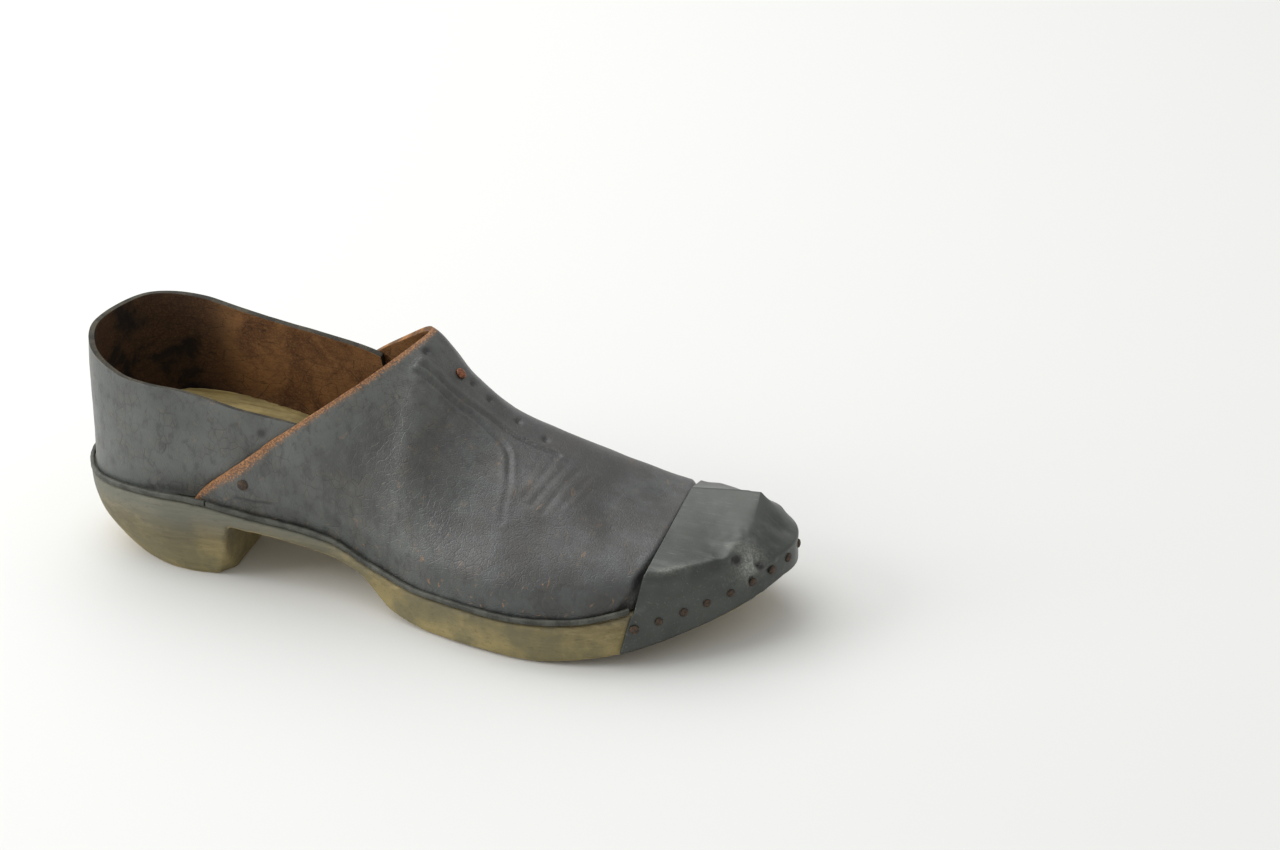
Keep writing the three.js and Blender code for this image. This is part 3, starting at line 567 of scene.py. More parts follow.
# ---- the hobnails ----------------------------------------------------------------------------------
# Rows of short iron nails driven into the tread and the heel, so that the wood lasts. Their heads are
# worn down nearly flush and have rusted brown.
HOBNAIL_RADIUS = 2.3
HOBNAIL_RISE = 0.65
NAIL_PITCH = 11.5
ROW_PITCH = 8.6
ROW_START = BALL_X - 18
TREAD_MARGIN = 13  # the inner rows stay this far inside the edge
TREAD_SCATTER = 1.2
HEEL_NAIL_RADIUS = 0.95 * HOBNAIL_RADIUS
HEEL_NAIL_RISE = 0.45
HEEL_NAIL_PITCH = 8.6
HEEL_ROW_PITCH = 8.4
HEEL_ROW_START = 13
HEEL_MARGIN = 5


def rust_finish():
    material, shader, place = finish("rusty_iron")
    patch = place.noise(0.9, 5, 0.65)
    crust = place.noise(4.0, 4, 0.7)
    colour = patch.step(0.35, 0.68).mix(tint(44, 36, 31), tint(92, 74, 58))
    colour = (crust.step(0.55, 0.75) * 0.7).mix(colour, tint(44, 33, 26))
    feed(
        shader,
        Base_Color=colour,
        Metallic=0.35 * patch.step(0.3, 0.6),
        Roughness=0.55 + crust * 0.3,
        Normal=(crust + patch).bump(0.6, 0.0003),
    )
    return material


rust = rust_finish()


def add_nail(bm, at, out, radius, rise, segments=8, rings=6):
    """A domed nail head, half sunk at a clog point, that faces out."""
    tilt = Vector(out).to_track_quat("Z", "Y").to_matrix().to_4x4()
    wobble = Euler((random.uniform(-0.12, 0.12), random.uniform(-0.12, 0.12), random.uniform(0, 6)))
    shape = Matrix.Diagonal((
        radius * MM * random.uniform(0.88, 1.08), radius * MM * random.uniform(0.82, 1.02), rise * MM, 1
    ))
    place = Matrix.Translation(Vector(settled(at))) @ tilt @ wobble.to_matrix().to_4x4() @ shape
    bmesh.ops.create_uvsphere(bm, u_segments=segments, v_segments=rings, radius=1, matrix=place)


def node_centre(node):
    low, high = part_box(node)
    return np.array((low + high) / 2) / MM - shift


def numbered(stem):
    """The nodes whose names are this stem and a number, in the order of the numbers."""
    nodes = [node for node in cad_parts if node.startswith(stem)]
    return sorted(nodes, key=lambda node: int(node[len(stem):]))


def under_normal(x, y):
    slope = (underside_z(x + 1.0, y) - underside_z(x - 1.0, y)) / 2
    return Vector((float(slope), 0, -1)).normalized()


random.seed(7)
tread_nodes = numbered("hobnail_")
heel_nodes = numbered("heel_nail_")
tread = bmesh.new()
edge_spots = [node_centre(node)[:2] for node in tread_nodes]
inner_spots = []
for row in range(14):
    x = ROW_START + row * ROW_PITCH
    for place in range(-5, 6):
        y = (place + 0.5 * (row % 2)) * NAIL_PITCH + random.uniform(-TREAD_SCATTER, TREAD_SCATTER)
        spot = np.array([x + random.uniform(-TREAD_SCATTER, TREAD_SCATTER), y])
        outer, inner = edge_y(spot[0], True) + TREAD_MARGIN, edge_y(spot[0], False) - TREAD_MARGIN
        clear = min(np.linalg.norm(spot - other) for other in edge_spots) > 6
        if outer < y < inner and spot[0] < LENGTH - 18 and clear:
            inner_spots.append(spot)
for x, y in edge_spots + inner_spots:
    out = under_normal(x, y)
    add_nail(tread, (x, y, float(underside_z(x, y)) - 0.05), out, HOBNAIL_RADIUS, HOBNAIL_RISE)
tread_nails = piece(tread, "tread_hobnails", [rust])
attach(tread_nails, "root")
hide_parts(*tread_nodes)


def stands_inside(spot, rim, margin):
    """Whether a plan point is more than margin inside the foot of the heel."""
    middle = np.array([heel_radius, 0.0])
    away = distance(rim, spot)
    nearest = rim[np.argmin(away)]
    within = np.linalg.norm(spot - middle) < np.linalg.norm(nearest - middle)
    return within and np.min(away) > margin


heel_turns = np.linspace(turn_at(HEEL_LENGTH, False) - 1, turn_at(HEEL_LENGTH, True), 200)
heel_foot = outline(heel_turns, ground_inset(outline(heel_turns)[:, 0]))
breast_line = np.linspace(heel_foot[0], heel_foot[-1], 60)
heel_foot = np.vstack([heel_foot, breast_line])
heel = bmesh.new()
heel_spots = [node_centre(node)[:2] for node in heel_nodes]
for row in range(6):
    for place in range(-4, 5):
        y = (place + 0.5 * (row % 2)) * HEEL_NAIL_PITCH
        scatter = (random.uniform(-1, 1), random.uniform(-1, 1))
        spot = np.array([HEEL_ROW_START + row * HEEL_ROW_PITCH, y]) + scatter
        clear = min(np.linalg.norm(spot - other) for other in heel_spots) > 5.5
        if clear and stands_inside(spot, heel_foot, HEEL_MARGIN):
            heel_spots.append(spot)
for x, y in heel_spots:
    add_nail(heel, (x, y, HEEL_NAIL_RISE), (0, 0, -1), HEEL_NAIL_RADIUS, HEEL_NAIL_RISE)
heel_nails = piece(heel, "heel_hobnails", [rust])
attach(heel_nails, "root")
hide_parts(*heel_nodes)


# ---- the back quarter ------------------------------------------------------------------------------
# One strip of thick waxed leather, flesh side in, that wraps the heel from ankle to ankle and runs
# forward inside the vamp. Its foot lies in the step of the sole; its top edge is cut and blacked.
QUARTER_HEIGHT = 52.0
QUARTER_FALL = 8.0
MEDIAL_RISE = 2.5  # the rim stands higher on the medial side
MEDIAL_LIFT = 3.5  # and more so at the front
LATERAL_DIP = 5.5  # on the lateral side it dips beside the heel
LATERAL_FADE = 0.45  # the dip loses this share of its depth again towards the front
HEEL_LEAN = 1.2
THROAT_X = 133.0
THROAT_HEIGHT = 95.0
CAP_HEIGHT = 41.5
CAP_DROP = 1.5
SHEET = 1.0
BULGE = 1.6
MEDIAL_ROUNDNESS = 1.15
RAND_HEIGHT = 3.0
EDGE_BEVEL = 0.5
DARK_REAR_END = 34  # the flesh side is painted darker from the heel back to about here

cap_ridge = CAP_HEIGHT - SHEET - 3 * GAP
ridge_z = line(
    (TIP_X, THROAT_HEIGHT + 16),
    (THROAT_X - 30, THROAT_HEIGHT + 9),
    (THROAT_X, THROAT_HEIGHT),
    (lerp(THROAT_X, CAP_REAR_X, 0.15), lerp(cap_ridge, THROAT_HEIGHT, 0.7)),
    (lerp(THROAT_X, CAP_REAR_X, 0.32), lerp(cap_ridge, THROAT_HEIGHT, 0.45)),
    (lerp(THROAT_X, CAP_REAR_X, 0.63), lerp(cap_ridge, THROAT_HEIGHT, 0.22)),
    (CAP_REAR_X, cap_ridge),
    (LENGTH, cap_ridge - CAP_DROP),
)
side_squareness = line(
    (TIP_X, 0.45), (THROAT_X - 35, 0.55), (THROAT_X, 1.1), (fore(0.2), 0.85), (CAP_REAR_X, 0.62)
)
crown_squareness = line((TIP_X, 1.15), (THROAT_X, 1.25), (fore(0.2), 0.95), (CAP_REAR_X, 0.6))
ridge_lean = line((TIP_X, 0), (THROAT_X - 20, 0.5), (THROAT_X, 1), (LENGTH, 1))


def upper_at(x, v, inset=LEATHER_INSET):
    """The upper's outer face in the section at x: v is 0 at the outer foot, 0.5 on the ridge, 1 inside."""
    lateral = v < 0.5
    roundness = np.where(lateral, 1, MEDIAL_ROUNDNESS)
    foot = feather_z(x) + GAP
    crown = np.clip(np.sin(np.pi * v), 0, 1)
    height = (ridge_z(x) - inset - foot) * crown ** (crown_squareness(x) * roundness)
    outward = np.where(lateral, -1, 1)
    edge = edge_y(x, lateral) - outward * inset
    out = np.abs(np.cos(np.pi * v)) ** (side_squareness(x) * roundness)
    swell = BULGE * smoothstep(height, RAND_HEIGHT + GAP, RAND_HEIGHT + 12) * out
    ridge = RIDGE_Y * ridge_lean(x)
    return np.stack([x + 0 * v, ridge + (edge - ridge) * out + outward * swell, foot + height], -1)


def upper_normal(x, v):
    along = upper_at(x + 1, v) - upper_at(x - 1, v)
    across = upper_at(x, np.minimum(v + 0.01, 1)) - upper_at(x, np.maximum(v - 0.01, 0))
    facing = np.cross(along, across)
    return facing / np.linalg.norm(facing, axis=-1, keepdims=True)


rim_height = line(
    (0, QUARTER_HEIGHT + 1.5),
    (0.6 * HEEL_LENGTH, QUARTER_HEIGHT - 2),
    (LAP_FRONT, QUARTER_HEIGHT - QUARTER_FALL),
)


def rim_shift(x, y):
    """How much higher the rim stands than that line, on the side that y says."""
    medial = MEDIAL_RISE + MEDIAL_LIFT * smoothstep(x, 0.6 * HEEL_LENGTH, LAP_FRONT)
    dip = smoothstep(x, 0, HEEL_LENGTH / 2) * (1 - LATERAL_FADE * smoothstep(x, HEEL_LENGTH, LAP_FRONT))
    return medial * smoothstep(y, 0, heel_radius) - LATERAL_DIP * dip * smoothstep(-y, 0, heel_radius)


def quarter_at(u, v):
    turn = lerp(turn_at(LAP_FRONT, False) - 1, turn_at(LAP_FRONT, True), u)
    foot = outline(turn)
    x, lateral = foot[:, 0], foot[:, 1] < 0
    rim = rim_height(x) + rim_shift(x, foot[:, 1])
    h = GAP + (rim - GAP) * v
    roundness = np.where(lateral, 1, MEDIAL_ROUNDNESS)
    rise = np.maximum(h - GAP, 0) / (ridge_z(x) - LEATHER_INSET - feather_z(x) - GAP)
    angle = np.arcsin(rise ** (1 / (crown_squareness(x) * roundness))) / np.pi
    section = np.clip(np.where(lateral, angle, 1 - angle), 0.004, 0.996)
    lap = smoothstep(x, TIP_X - LAP_BLEND, TIP_X - 2) * (LEATHER + LAP_GAP)
    side = upper_at(x, section) - upper_normal(x, section) * lap[:, None]
    back = outline(turn, LEATHER_INSET + HEEL_LEAN * h / QUARTER_HEIGHT)
    back = np.column_stack([back, feather_z(x) + h])
    part = smoothstep(x, 5, 55)[:, None]
    return back * (1 - part) + side * part


def leather_finish():
    """Waxed leather, black with a grey bloom, scuffed brown; where it is worn its tan is bared. Painted
    sheen makes it lighter towards the heel, painted shade makes it darker towards the toe, and painted
    shade makes it near black in holes, grooves and cracks.
    """
    material, shader, place = finish("waxed_leather")
    bloom = place.noise(0.022, 5, 0.6, 0.4)
    blotch = place.noise(0.075, 5, 0.62, 0.3)
    mottle = place.stretched(0.3, 0.3, 0.16).noise(1.0, 6, 0.68)
    grain = place.cracks(1.05)
    fine = place.noise(1.6, 5, 0.65)
    crack = place.stretched(0.32, 0.5, 0.22).cracks(1.0)
    scuff = place.stretched(0.5, 0.5, 0.16).noise(1.0, 5, 0.72, 0.5)
    low = 1 - axis(place, 2).step(18, 40)
    colour = bloom.step(0.34, 0.66).mix(tint(22, 23, 21), tint(60, 64, 63))
    colour = (blotch.step(0.44, 0.66) * 0.7).mix(colour, tint(48, 41, 33))
    colour = (mottle.step(0.52, 0.72) * 0.35).mix(colour, tint(84, 86, 80))
    along = axis(place, 0)
    # painted sheen: the leather is painted a lighter grey towards the heel
    colour = ((1 - along.step(-30, 45)) * (0.2 + bloom.step(0.3, 0.6) * 0.35)).mix(colour, tint(92, 95, 91))
    # painted shade: the leather is painted darker towards the toe
    colour = (along.step(5, 60) * (0.15 + blotch.step(0.35, 0.6) * 0.35)).mix(colour, tint(24, 25, 23))
    colour = (scuff.step(0.6, 0.76) * (0.12 + low * 0.5)).mix(colour, tint(92, 76, 52))
    colour = ((1 - mottle.step(0.36, 0.5)) * 0.45).mix(colour, tint(26, 26, 24))
    streak = place.stretched(0.3, 0.09, 0.3).noise(1.0, 5, 0.7, 0.8)
    colour = (streak.step(0.6, 0.7) * (0.25 + low * 0.7)).mix(colour, tint(150, 106, 60))
    colour = ((1 - crack.step(0.0, 0.05)) * blotch.step(0.45, 0.6) * 0.6).mix(colour, tint(20, 19, 17))
    # painted shade: holes, tooled grooves and cracks are painted near black
    pit_shade = marked(place, "pit_shade")
    colour = pit_shade.mix(colour, tint(12, 11, 10))
    worn = marked(place, "worn")
    bared = (worn + (fine - 0.5) * 0.7).step(0.45, 0.8)
    tan = fine.step(0.35, 0.7).mix(tint(92, 58, 34), tint(176, 124, 76))
    colour = bared.mix(colour, tan)
    relief = grain.step(0, 0.35) * 0.3 + fine * 0.6 + crack.step(0.0, 0.06) * 0.5
    feed(
        shader,
        Base_Color=colour,
        Roughness=0.34 + blotch * 0.24 + bared * 0.3 + scuff.step(0.55, 0.8) * 0.15,
        Specular_IOR_Level=0.75,
        Coat_Weight=0.12,
        Coat_Roughness=0.35,
        Normal=relief.bump(0.32, 0.0004),
    )
    return material


def inner_finish():
    material, shader, place = finish("flesh_side")
    nap = place.noise(1.3, 6, 0.75)
    patch = place.noise(0.06, 5, 0.65, 0.5)
    rub = place.stretched(0.22, 0.22, 0.7).noise(1.0, 5, 0.7)
    end = float(shift[0]) + DARK_REAR_END
    rear = 1 - axis(place, 0).step(end - 8, end + 22)
    colour = patch.step(0.35, 0.65).mix(tint(92, 60, 37), tint(138, 98, 60))
    colour = (nap.step(0.42, 0.68) * 0.5).mix(colour, tint(166, 126, 82))
    colour = (rub.step(0.56, 0.7) * 0.6).mix(colour, tint(40, 29, 21))
    split = place.stretched(0.1, 0.1, 0.26).cracks(1.0)
    colour = ((1 - split.step(0.0, 0.035)) * nap.step(0.4, 0.6) * 0.8).mix(colour, tint(24, 18, 14))
    colour = (rear * (0.62 + 0.36 * patch.step(0.4, 0.6))).mix(colour, tint(22, 19, 17))
    feed(
        shader,
        Base_Color=colour,
        Roughness=0.82,
        Specular_IOR_Level=0.25,
        Normal=(nap + rub * 0.6).bump(0.7, 0.0006),
    )
    return material


def edge_finish(name, dark, light, stain):
    material, shader, place = finish(name)
    fibre = place.noise(1.8, 5, 0.7)
    patch = place.noise(0.12, 4, 0.6)
    colour = fibre.step(0.3, 0.7).mix(dark, light)
    colour = (patch.step(0.42, 0.62) * 0.75).mix(colour, stain)
    feed(shader, Base_Color=colour, Roughness=0.8, Specular_IOR_Level=0.3, Normal=fibre.bump(0.6, 0.0004))
    return material


waxed_leather = leather_finish()
flesh_side = inner_finish()
cut_edge = edge_finish("cut_edge", tint(104, 66, 34), tint(176, 124, 72), tint(58, 46, 36))
blacked_edge = edge_finish("blacked_edge", tint(46, 45, 41), tint(82, 76, 62), tint(30, 30, 28))


def thicken(made, thickness, bevel):
    """Gives a sheet its thickness inwards and rounds its cut edges."""
    wall = made.modifiers.new("thickness", "SOLIDIFY")
    wall.thickness = thickness * MM
    wall.offset = -1
    wall.use_even_offset = True
    wall.material_offset = 1
    wall.material_offset_rim = 2
    if bevel:
        rounding = made.modifiers.new("edges", "BEVEL")
        rounding.width = bevel * MM
        rounding.segments = 2
        rounding.limit_method = "ANGLE"
        rounding.angle_limit = math.radians(50)
        rounding.harden_normals = False


def quarter_form(points):
    """Soft bulges, and pleats where the leather is pulled in over the sole."""
    depths = []
    for p in points:
        above = p[2] - float(feather_z(p[0]))
        pleat = 0.28 * rumple((p[0], p[1], 0), 3.2, 5) * math.exp(-max(above, 0) / 4)
        depths.append(0.55 * rumple(p, 30, 3) + 0.14 * rumple(p, 8, 4) + pleat)
    return depths


quarter_skin = skin(quarter_at, 420, 64)
sculpt(quarter_skin, quarter_form)
quarter = piece(quarter_skin, "back_quarter_leather", [waxed_leather, flesh_side, blacked_edge])
quarter_hole = np.array([80.6, -29.2, 61.8])  # a small hole in the outer side, only painted, as a near black spot of shade


def quarter_wear(points):
    rim = feather_z(points[:, 0]) + rim_height(points[:, 0]) + rim_shift(points[:, 0], points[:, 1])
    return np.exp(-np.maximum(rim - points[:, 2], 0) / 1.0) * 0.3


# painted shade: a near black spot round the vertex nearest the hole
def quarter_pit_shade(points):
    at = points[np.argmin(distance(points, quarter_hole))]
    return np.clip(1.6 * bell(distance(points, at), 1.5), 0, 1)


mark(quarter, "worn", quarter_wear)
mark(quarter, "pit_shade", quarter_pit_shade)
thicken(quarter, LEATHER, EDGE_BEVEL)
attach(quarter, "root")
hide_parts("back_quarter")


# ---- the vamp --------------------------------------------------------------------------------------
# A single piece of waxed leather, wet-formed over the instep and toe, lapped over the quarter and nailed
# down all round. Its top edge is left raw. Lines are tooled along the instep, and walking has creased it.
CAP_TUCK = 8.0
TOOL_WIDTH = 0.75
TOOL_DEPTH = 0.45


def vamp_at(u, v):
    crown = np.sin(np.pi * v)
    rear = lerp(TIP_X, THROAT_X, np.clip(crown, 0, 1) ** 1.3)
    front = CAP_REAR_X - CAP_SWEEP * (1 - crown) + CAP_TUCK
    x = lerp(rear, front, u)
    under_cap = smoothstep(x, front - CAP_TUCK - 2.5, front - CAP_TUCK + 1.5)
    return upper_at(x, v, LEATHER_INSET + under_cap * TUCK_IN)


def on_upper(x, y):
    """The point of the upper's outer face above a plan point."""
    v = np.linspace(0, 1, 400)
    section = upper_at(np.full_like(v, x), v)
    return section[np.argmin(np.abs(section[:, 1] - y))]


def off_path(points, spots):
    """Distance of each point from the straight stretches between spots."""
    nearest = np.full(len(points), 1e9)
    for a, b in zip(spots[:-1], spots[1:]):
        along = np.clip(((points - a) @ (b - a)) / ((b - a) @ (b - a)), 0, 1)
        nearest = np.minimum(nearest, distance(points - a, along[:, None] * (b - a)))
    return nearest


def off_line(points, path):
    """Distance of each point from a path drawn on the upper, given by plan points."""
    return off_path(points, [on_upper(x, y) for x, y in drawn(path)])


def drawn(path, steps=8):
    """A path with its corners rounded, by a smooth line through its points."""
    path = np.array(path, float)
    way = np.arange(len(path))
    fine = np.linspace(0, len(path) - 1, steps * (len(path) - 1) + 1)
    along = line(*zip(way, path[:, 0]))(fine)
    return list(zip(along, line(*zip(way, path[:, 1]))(fine)))


tooled = [
    [(135, -6), (148, -3), (160, -1), (173, -1.5), (184, -0.5)],
    [
        (134, -9), (146, -7), (155, -6), (165, -8), (169, -12), (171, -18), (173, -26), (173.5, -32),
        (174.5, -37),
    ],
]
creases = [
    [(179, -6), (178.5, -14), (177, -22)],
    [(183.5, -3), (182.5, -14), (179.5, -26)],
    [(188, -3), (186.5, -13), (183, -28)],
    [(192.5, -4), (190.5, -15), (187.5, -30)],
    [(197, -5), (195, -16), (192, -27)],
    [(200, -9), (198.5, -17), (196.5, -24)],
]
punched = [(134.7, -0.8), (149.5, 7.0), (155.8, 7.4), (166.5, 7.2), (177.4, 5.1)]
# soft hollows that years of wear have left: plan point, breadth and depth
hollows = [
    ((206, -14), 9, 1.0),
    ((213, -24), 8, 0.9),
    ((221, 6), 5, 0.9),
    ((86.6, -32.1), 5, 0.6),
    ((190, -38), 12, 0.7),
]
# a split close to the outer rear tip, which is only painted, as a dark line of shade
split = [np.array([70.3, -33.7, 36.4]), np.array([77, -33.5, 35.6]), np.array([84.6, -33.3, 35.9])]


def vamp_form(points):
    depth = np.zeros(len(points))
    for path in tooled:
        away = off_line(points, path)
        firm = 1 - 0.65 * smoothstep(-points[:, 1], 12, 30)
        depth -= TOOL_DEPTH * firm * bell(away, TOOL_WIDTH)
        depth += 0.28 * firm * bell(away - 2.0, 1.1)
    for path, deep in zip(creases, (0.1, 0.2, 0.26, 0.24, 0.18, 0.1)):
        away = off_line(points, path)
        fade = np.array([0.65 + 0.5 * rumple(p, 7, 21) for p in points])
        depth -= deep * fade * bell(away, 1.1)
    for at, breadth, deep in hollows:
        depth -= deep * bell(distance(points, on_upper(*at)), breadth)
    for x, y in punched:
        depth -= bell(distance(points, on_upper(x, y)), 1.3)
    for i, p in enumerate(points):
        above = p[2] - float(feather_z(p[0]))
        pleat = 0.4 * rumple((p[0], p[1], 0), 3.0, 5) * math.exp(-max(above, 0) / 6)
        depth[i] += 0.7 * rumple(p, 34, 8) + 0.18 * rumple(p, 9, 9) + pleat
    return depth


vamp_skin = skin(vamp_at, 190, 240)
sculpt(vamp_skin, vamp_form)
vamp = piece(vamp_skin, "vamp_leather", [waxed_leather, flesh_side, cut_edge])


def vamp_wear(points):
    v = np.linspace(0, 1, 200)
    rim = np.array([vamp_at(np.array([0.0]), np.array([part]))[0] for part in v])
    near = np.array([np.min(distance(rim, p)) for p in points])
    width = 3.4 + 3.0 * bell(points[:, 0] - 74, 10)
    return np.exp(-near / width)


# painted shade: the punched holes and the split are painted near black, and the tooled grooves dark
def vamp_pit_shade(points):
    depth = np.zeros(len(points))
    for x, y in punched:
        depth = np.maximum(depth, 2.2 * bell(distance(points, on_upper(x, y)), 1.5))
    for path in tooled:
        depth = np.maximum(depth, 0.45 * bell(off_line(points, path), 0.8))
    depth = np.maximum(depth, bell(off_path(points, split), 0.6))
    return np.clip(depth, 0, 1)


mark(vamp, "worn", vamp_wear)
mark(vamp, "pit_shade", vamp_pit_shade)
thicken(vamp, LEATHER, EDGE_BEVEL)
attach(vamp, "root")
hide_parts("vamp")


# ---- the rands -------------------------------------------------------------------------------------
# Narrow strips of leather laid over the foot of the upper: one round the heel and one along each side,
# as far as the toe cap. They have dried hard and wavy, and are grey with wax and mud.
def rand_finish():
    material, shader, place = finish("rand_leather")
    patch = place.noise(0.16, 5, 0.6)
    fine = place.noise(1.5, 5, 0.7)
    colour = patch.step(0.36, 0.64).mix(tint(44, 44, 39), tint(74, 75, 68))
    colour = (fine.step(0.55, 0.72) * 0.5).mix(colour, tint(108, 96, 68))
    feed(shader, Base_Color=colour, Roughness=0.6, Normal=(fine + patch).bump(0.5, 0.0004))
    return material


rand_leather = rand_finish()


def add_rand(name, node, start, end, columns):
    def rand_at(u, v):
        turn = lerp(start, end, u)
        x = outline(turn)[:, 0]
        angle = 2 * np.pi * v
        wave = np.array([rumple((t * PERIMETER, 0, 0), 9, 12) for t in turn])
        ripple = np.array([rumple((t * PERIMETER, 0, 0), 2.6, 13) for t in turn])
        across = np.sign(np.cos(angle)) * np.abs(np.cos(angle)) ** 0.6
        upward = np.sign(np.sin(angle)) * np.abs(np.sin(angle)) ** 0.6
        out = 0.35 + 0.25 * wave + 0.15 * ripple - RAND_THICKNESS / 2
        spot = outline(turn, -out + RAND_THICKNESS / 2 * across)
        level = feather_z(x) + GAP + RAND_HEIGHT / 2 * (1 + 0.06 * wave)
        z = level + RAND_HEIGHT / 2 * (0.7 + 0.12 * ripple) * upward
        return np.column_stack([spot, z])

    strip = skin(rand_at, columns, 14)
    bmesh.ops.remove_doubles(strip, verts=strip.verts, dist=0.02 * MM)
    close_ends(strip)
    made = piece(strip, name, [rand_leather])
    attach(made, "root")
    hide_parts(node)


CAP_FOOT_SWEEP = 0.4
rand_front = CAP_LOW_X + CAP_SWEEP * CAP_FOOT_SWEEP - 2 * GAP
seam = GAP / PERIMETER
tip_out, tip_in = turn_at(TIP_X + 6, True), turn_at(TIP_X + 6, False)
add_rand("heel_rand_strip", "heel_rand", tip_in - 1 + seam, tip_out - seam, 360)
add_rand("outer_rand_strip", "vamp_rand_lateral", tip_out + seam, turn_at(rand_front, True), 320)
add_rand("inner_rand_strip", "vamp_rand_medial", turn_at(rand_front, False), tip_in - seam, 320)


# ---- the rivets of the upper -----------------------------------------------------------------------
# Three rivets: a copper one holds a repair on the instep, and a rusty one at each rear tip of the vamp
# holds the lap over the quarter.
def copper_finish():
    material, shader, place = finish("tarnished_copper")
    patch = place.noise(0.8, 5, 0.7)
    colour = patch.step(0.35, 0.65).mix(tint(70, 44, 30), tint(150, 92, 62))
    feed(shader, Base_Color=colour, Metallic=0.6, Roughness=0.5, Normal=patch.bump(0.5, 0.0003))
    return material


copper = copper_finish()
RIVET_RADIUS = 2.21
RIVET_RISE = 0.75
for node in ("instep_rivet", "tip_rivet_lateral", "tip_rivet_medial"):
    centre = node_centre(node)
    v = np.linspace(0.02, 0.98, 300)
    section = upper_at(np.full_like(v, centre[0]), v)
    nearest = v[np.argmin(distance(section, centre))]
    spot = upper_at(np.array([centre[0]]), np.array([nearest]))[0]
    out = upper_normal(np.array([centre[0]]), np.array([nearest]))[0]
    head = bmesh.new()
    add_nail(head, spot + out * 0.1, out, RIVET_RADIUS, RIVET_RISE, 20, 12)
    rivet = piece(head, node + "_head", [copper if node == "instep_rivet" else rust])
    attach(rivet, "root")
    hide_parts(node)


# ---- the toe cap -----------------------------------------------------------------------------------
# A guard of thin sheet iron, cut flat, folded over the toe along two creases and nailed to the edge of
# the wood. Knocks have crumpled its front corner and the surface has dulled to a satin grey.
CAP_CREASE = 36.0
CAP_MEDIAL_CREASE = 33.0
CAP_SHOW = 1.6
CAP_CREASE_SWEEP = 0.85
CAP_SIDE_LEAN = 2.0
CAP_FRONT_LEAN = 7.0
CAP_RIDGE_SETBACK = 15.0
CREST_LIFT = 2.0  # the folded sheet stands up a little at the front of the ridge
CAP_INSET = -(SHEET + GAP)
CAP_NAIL_RADIUS = 1.75
CAP_NAIL_RISE = 0.9
crest_spot = np.array([LENGTH - CAP_RIDGE_SETBACK, RIDGE_Y + 5, CAP_HEIGHT - CAP_DROP + CREST_LIFT])


def cap_corners(u):
    """The folds of the cap, from its hem to the ridge, at each share of the way round."""
    def turn(sweep):
        x = CAP_LOW_X + CAP_SWEEP * sweep
        return lerp(turn_at(x, True), turn_at(x, False), u)

    side = np.abs(2 * u - 1)
    front = 1 - smoothstep(side, 0, 0.5)
    hem = outline(turn(0), np.full_like(u, CAP_INSET))
    hem_z = underside_z(np.minimum(hem[:, 0], LENGTH - 1), hem[:, 1]) + CAP_SHOW
    foot = outline(turn(CAP_FOOT_SWEEP), np.full_like(u, CAP_INSET))
    crease = outline(turn(CAP_CREASE_SWEEP), CAP_INSET + CAP_SIDE_LEAN + CAP_FRONT_LEAN * front)
    crease_z = lerp(CAP_CREASE, CAP_MEDIAL_CREASE, smoothstep(u, 0.4, 0.8))
    back = smoothstep(side, 0.25, 1)[:, None]
    ridge_rear = np.array([CAP_REAR_X, RIDGE_Y + 2, CAP_HEIGHT])
    return [
        np.column_stack([hem, hem_z]),
        np.column_stack([foot, feather_z(foot[:, 0]) + GAP]),
        np.column_stack([crease, crease_z]),
        crest_spot * (1 - back) + ridge_rear * back,
    ]


def cap_at(u, v):
    """v runs up the cap; each fold is rounded by averaging the points near it."""
    corners = np.stack(cap_corners(u))
    levels = np.array([0, 0.25, 0.55, 1])

    def flat(v):
        v = np.clip(v, 0, 1)
        i = np.clip(np.searchsorted(levels, v, "right") - 1, 0, 2)
        part = ((v - levels[i]) / (levels[i + 1] - levels[i]))[:, None]
        rows = np.arange(len(u))
        return corners[i, rows] * (1 - part) + corners[i + 1, rows] * part

    soft = np.minimum(0.022, np.minimum(v, 1 - v))
    spot = sum(flat(v + soft * k / 3) for k in range(-3, 4)) / 7
    # the rear edges of the side panels are hammered in against the leather
    rear_x = CAP_LOW_X + CAP_SWEEP * np.interp(v, levels, [0, CAP_FOOT_SWEEP, CAP_CREASE_SWEEP, 1])
    near_rear = 1 - smoothstep(spot[:, 0] - rear_x, 0, 8)
    beside = smoothstep(v, 0.23, 0.29) * (1 - smoothstep(v, 0.55, 0.7))
    spot[:, 1] -= np.sign(spot[:, 1]) * 2.5 * near_rear * beside
    return spot


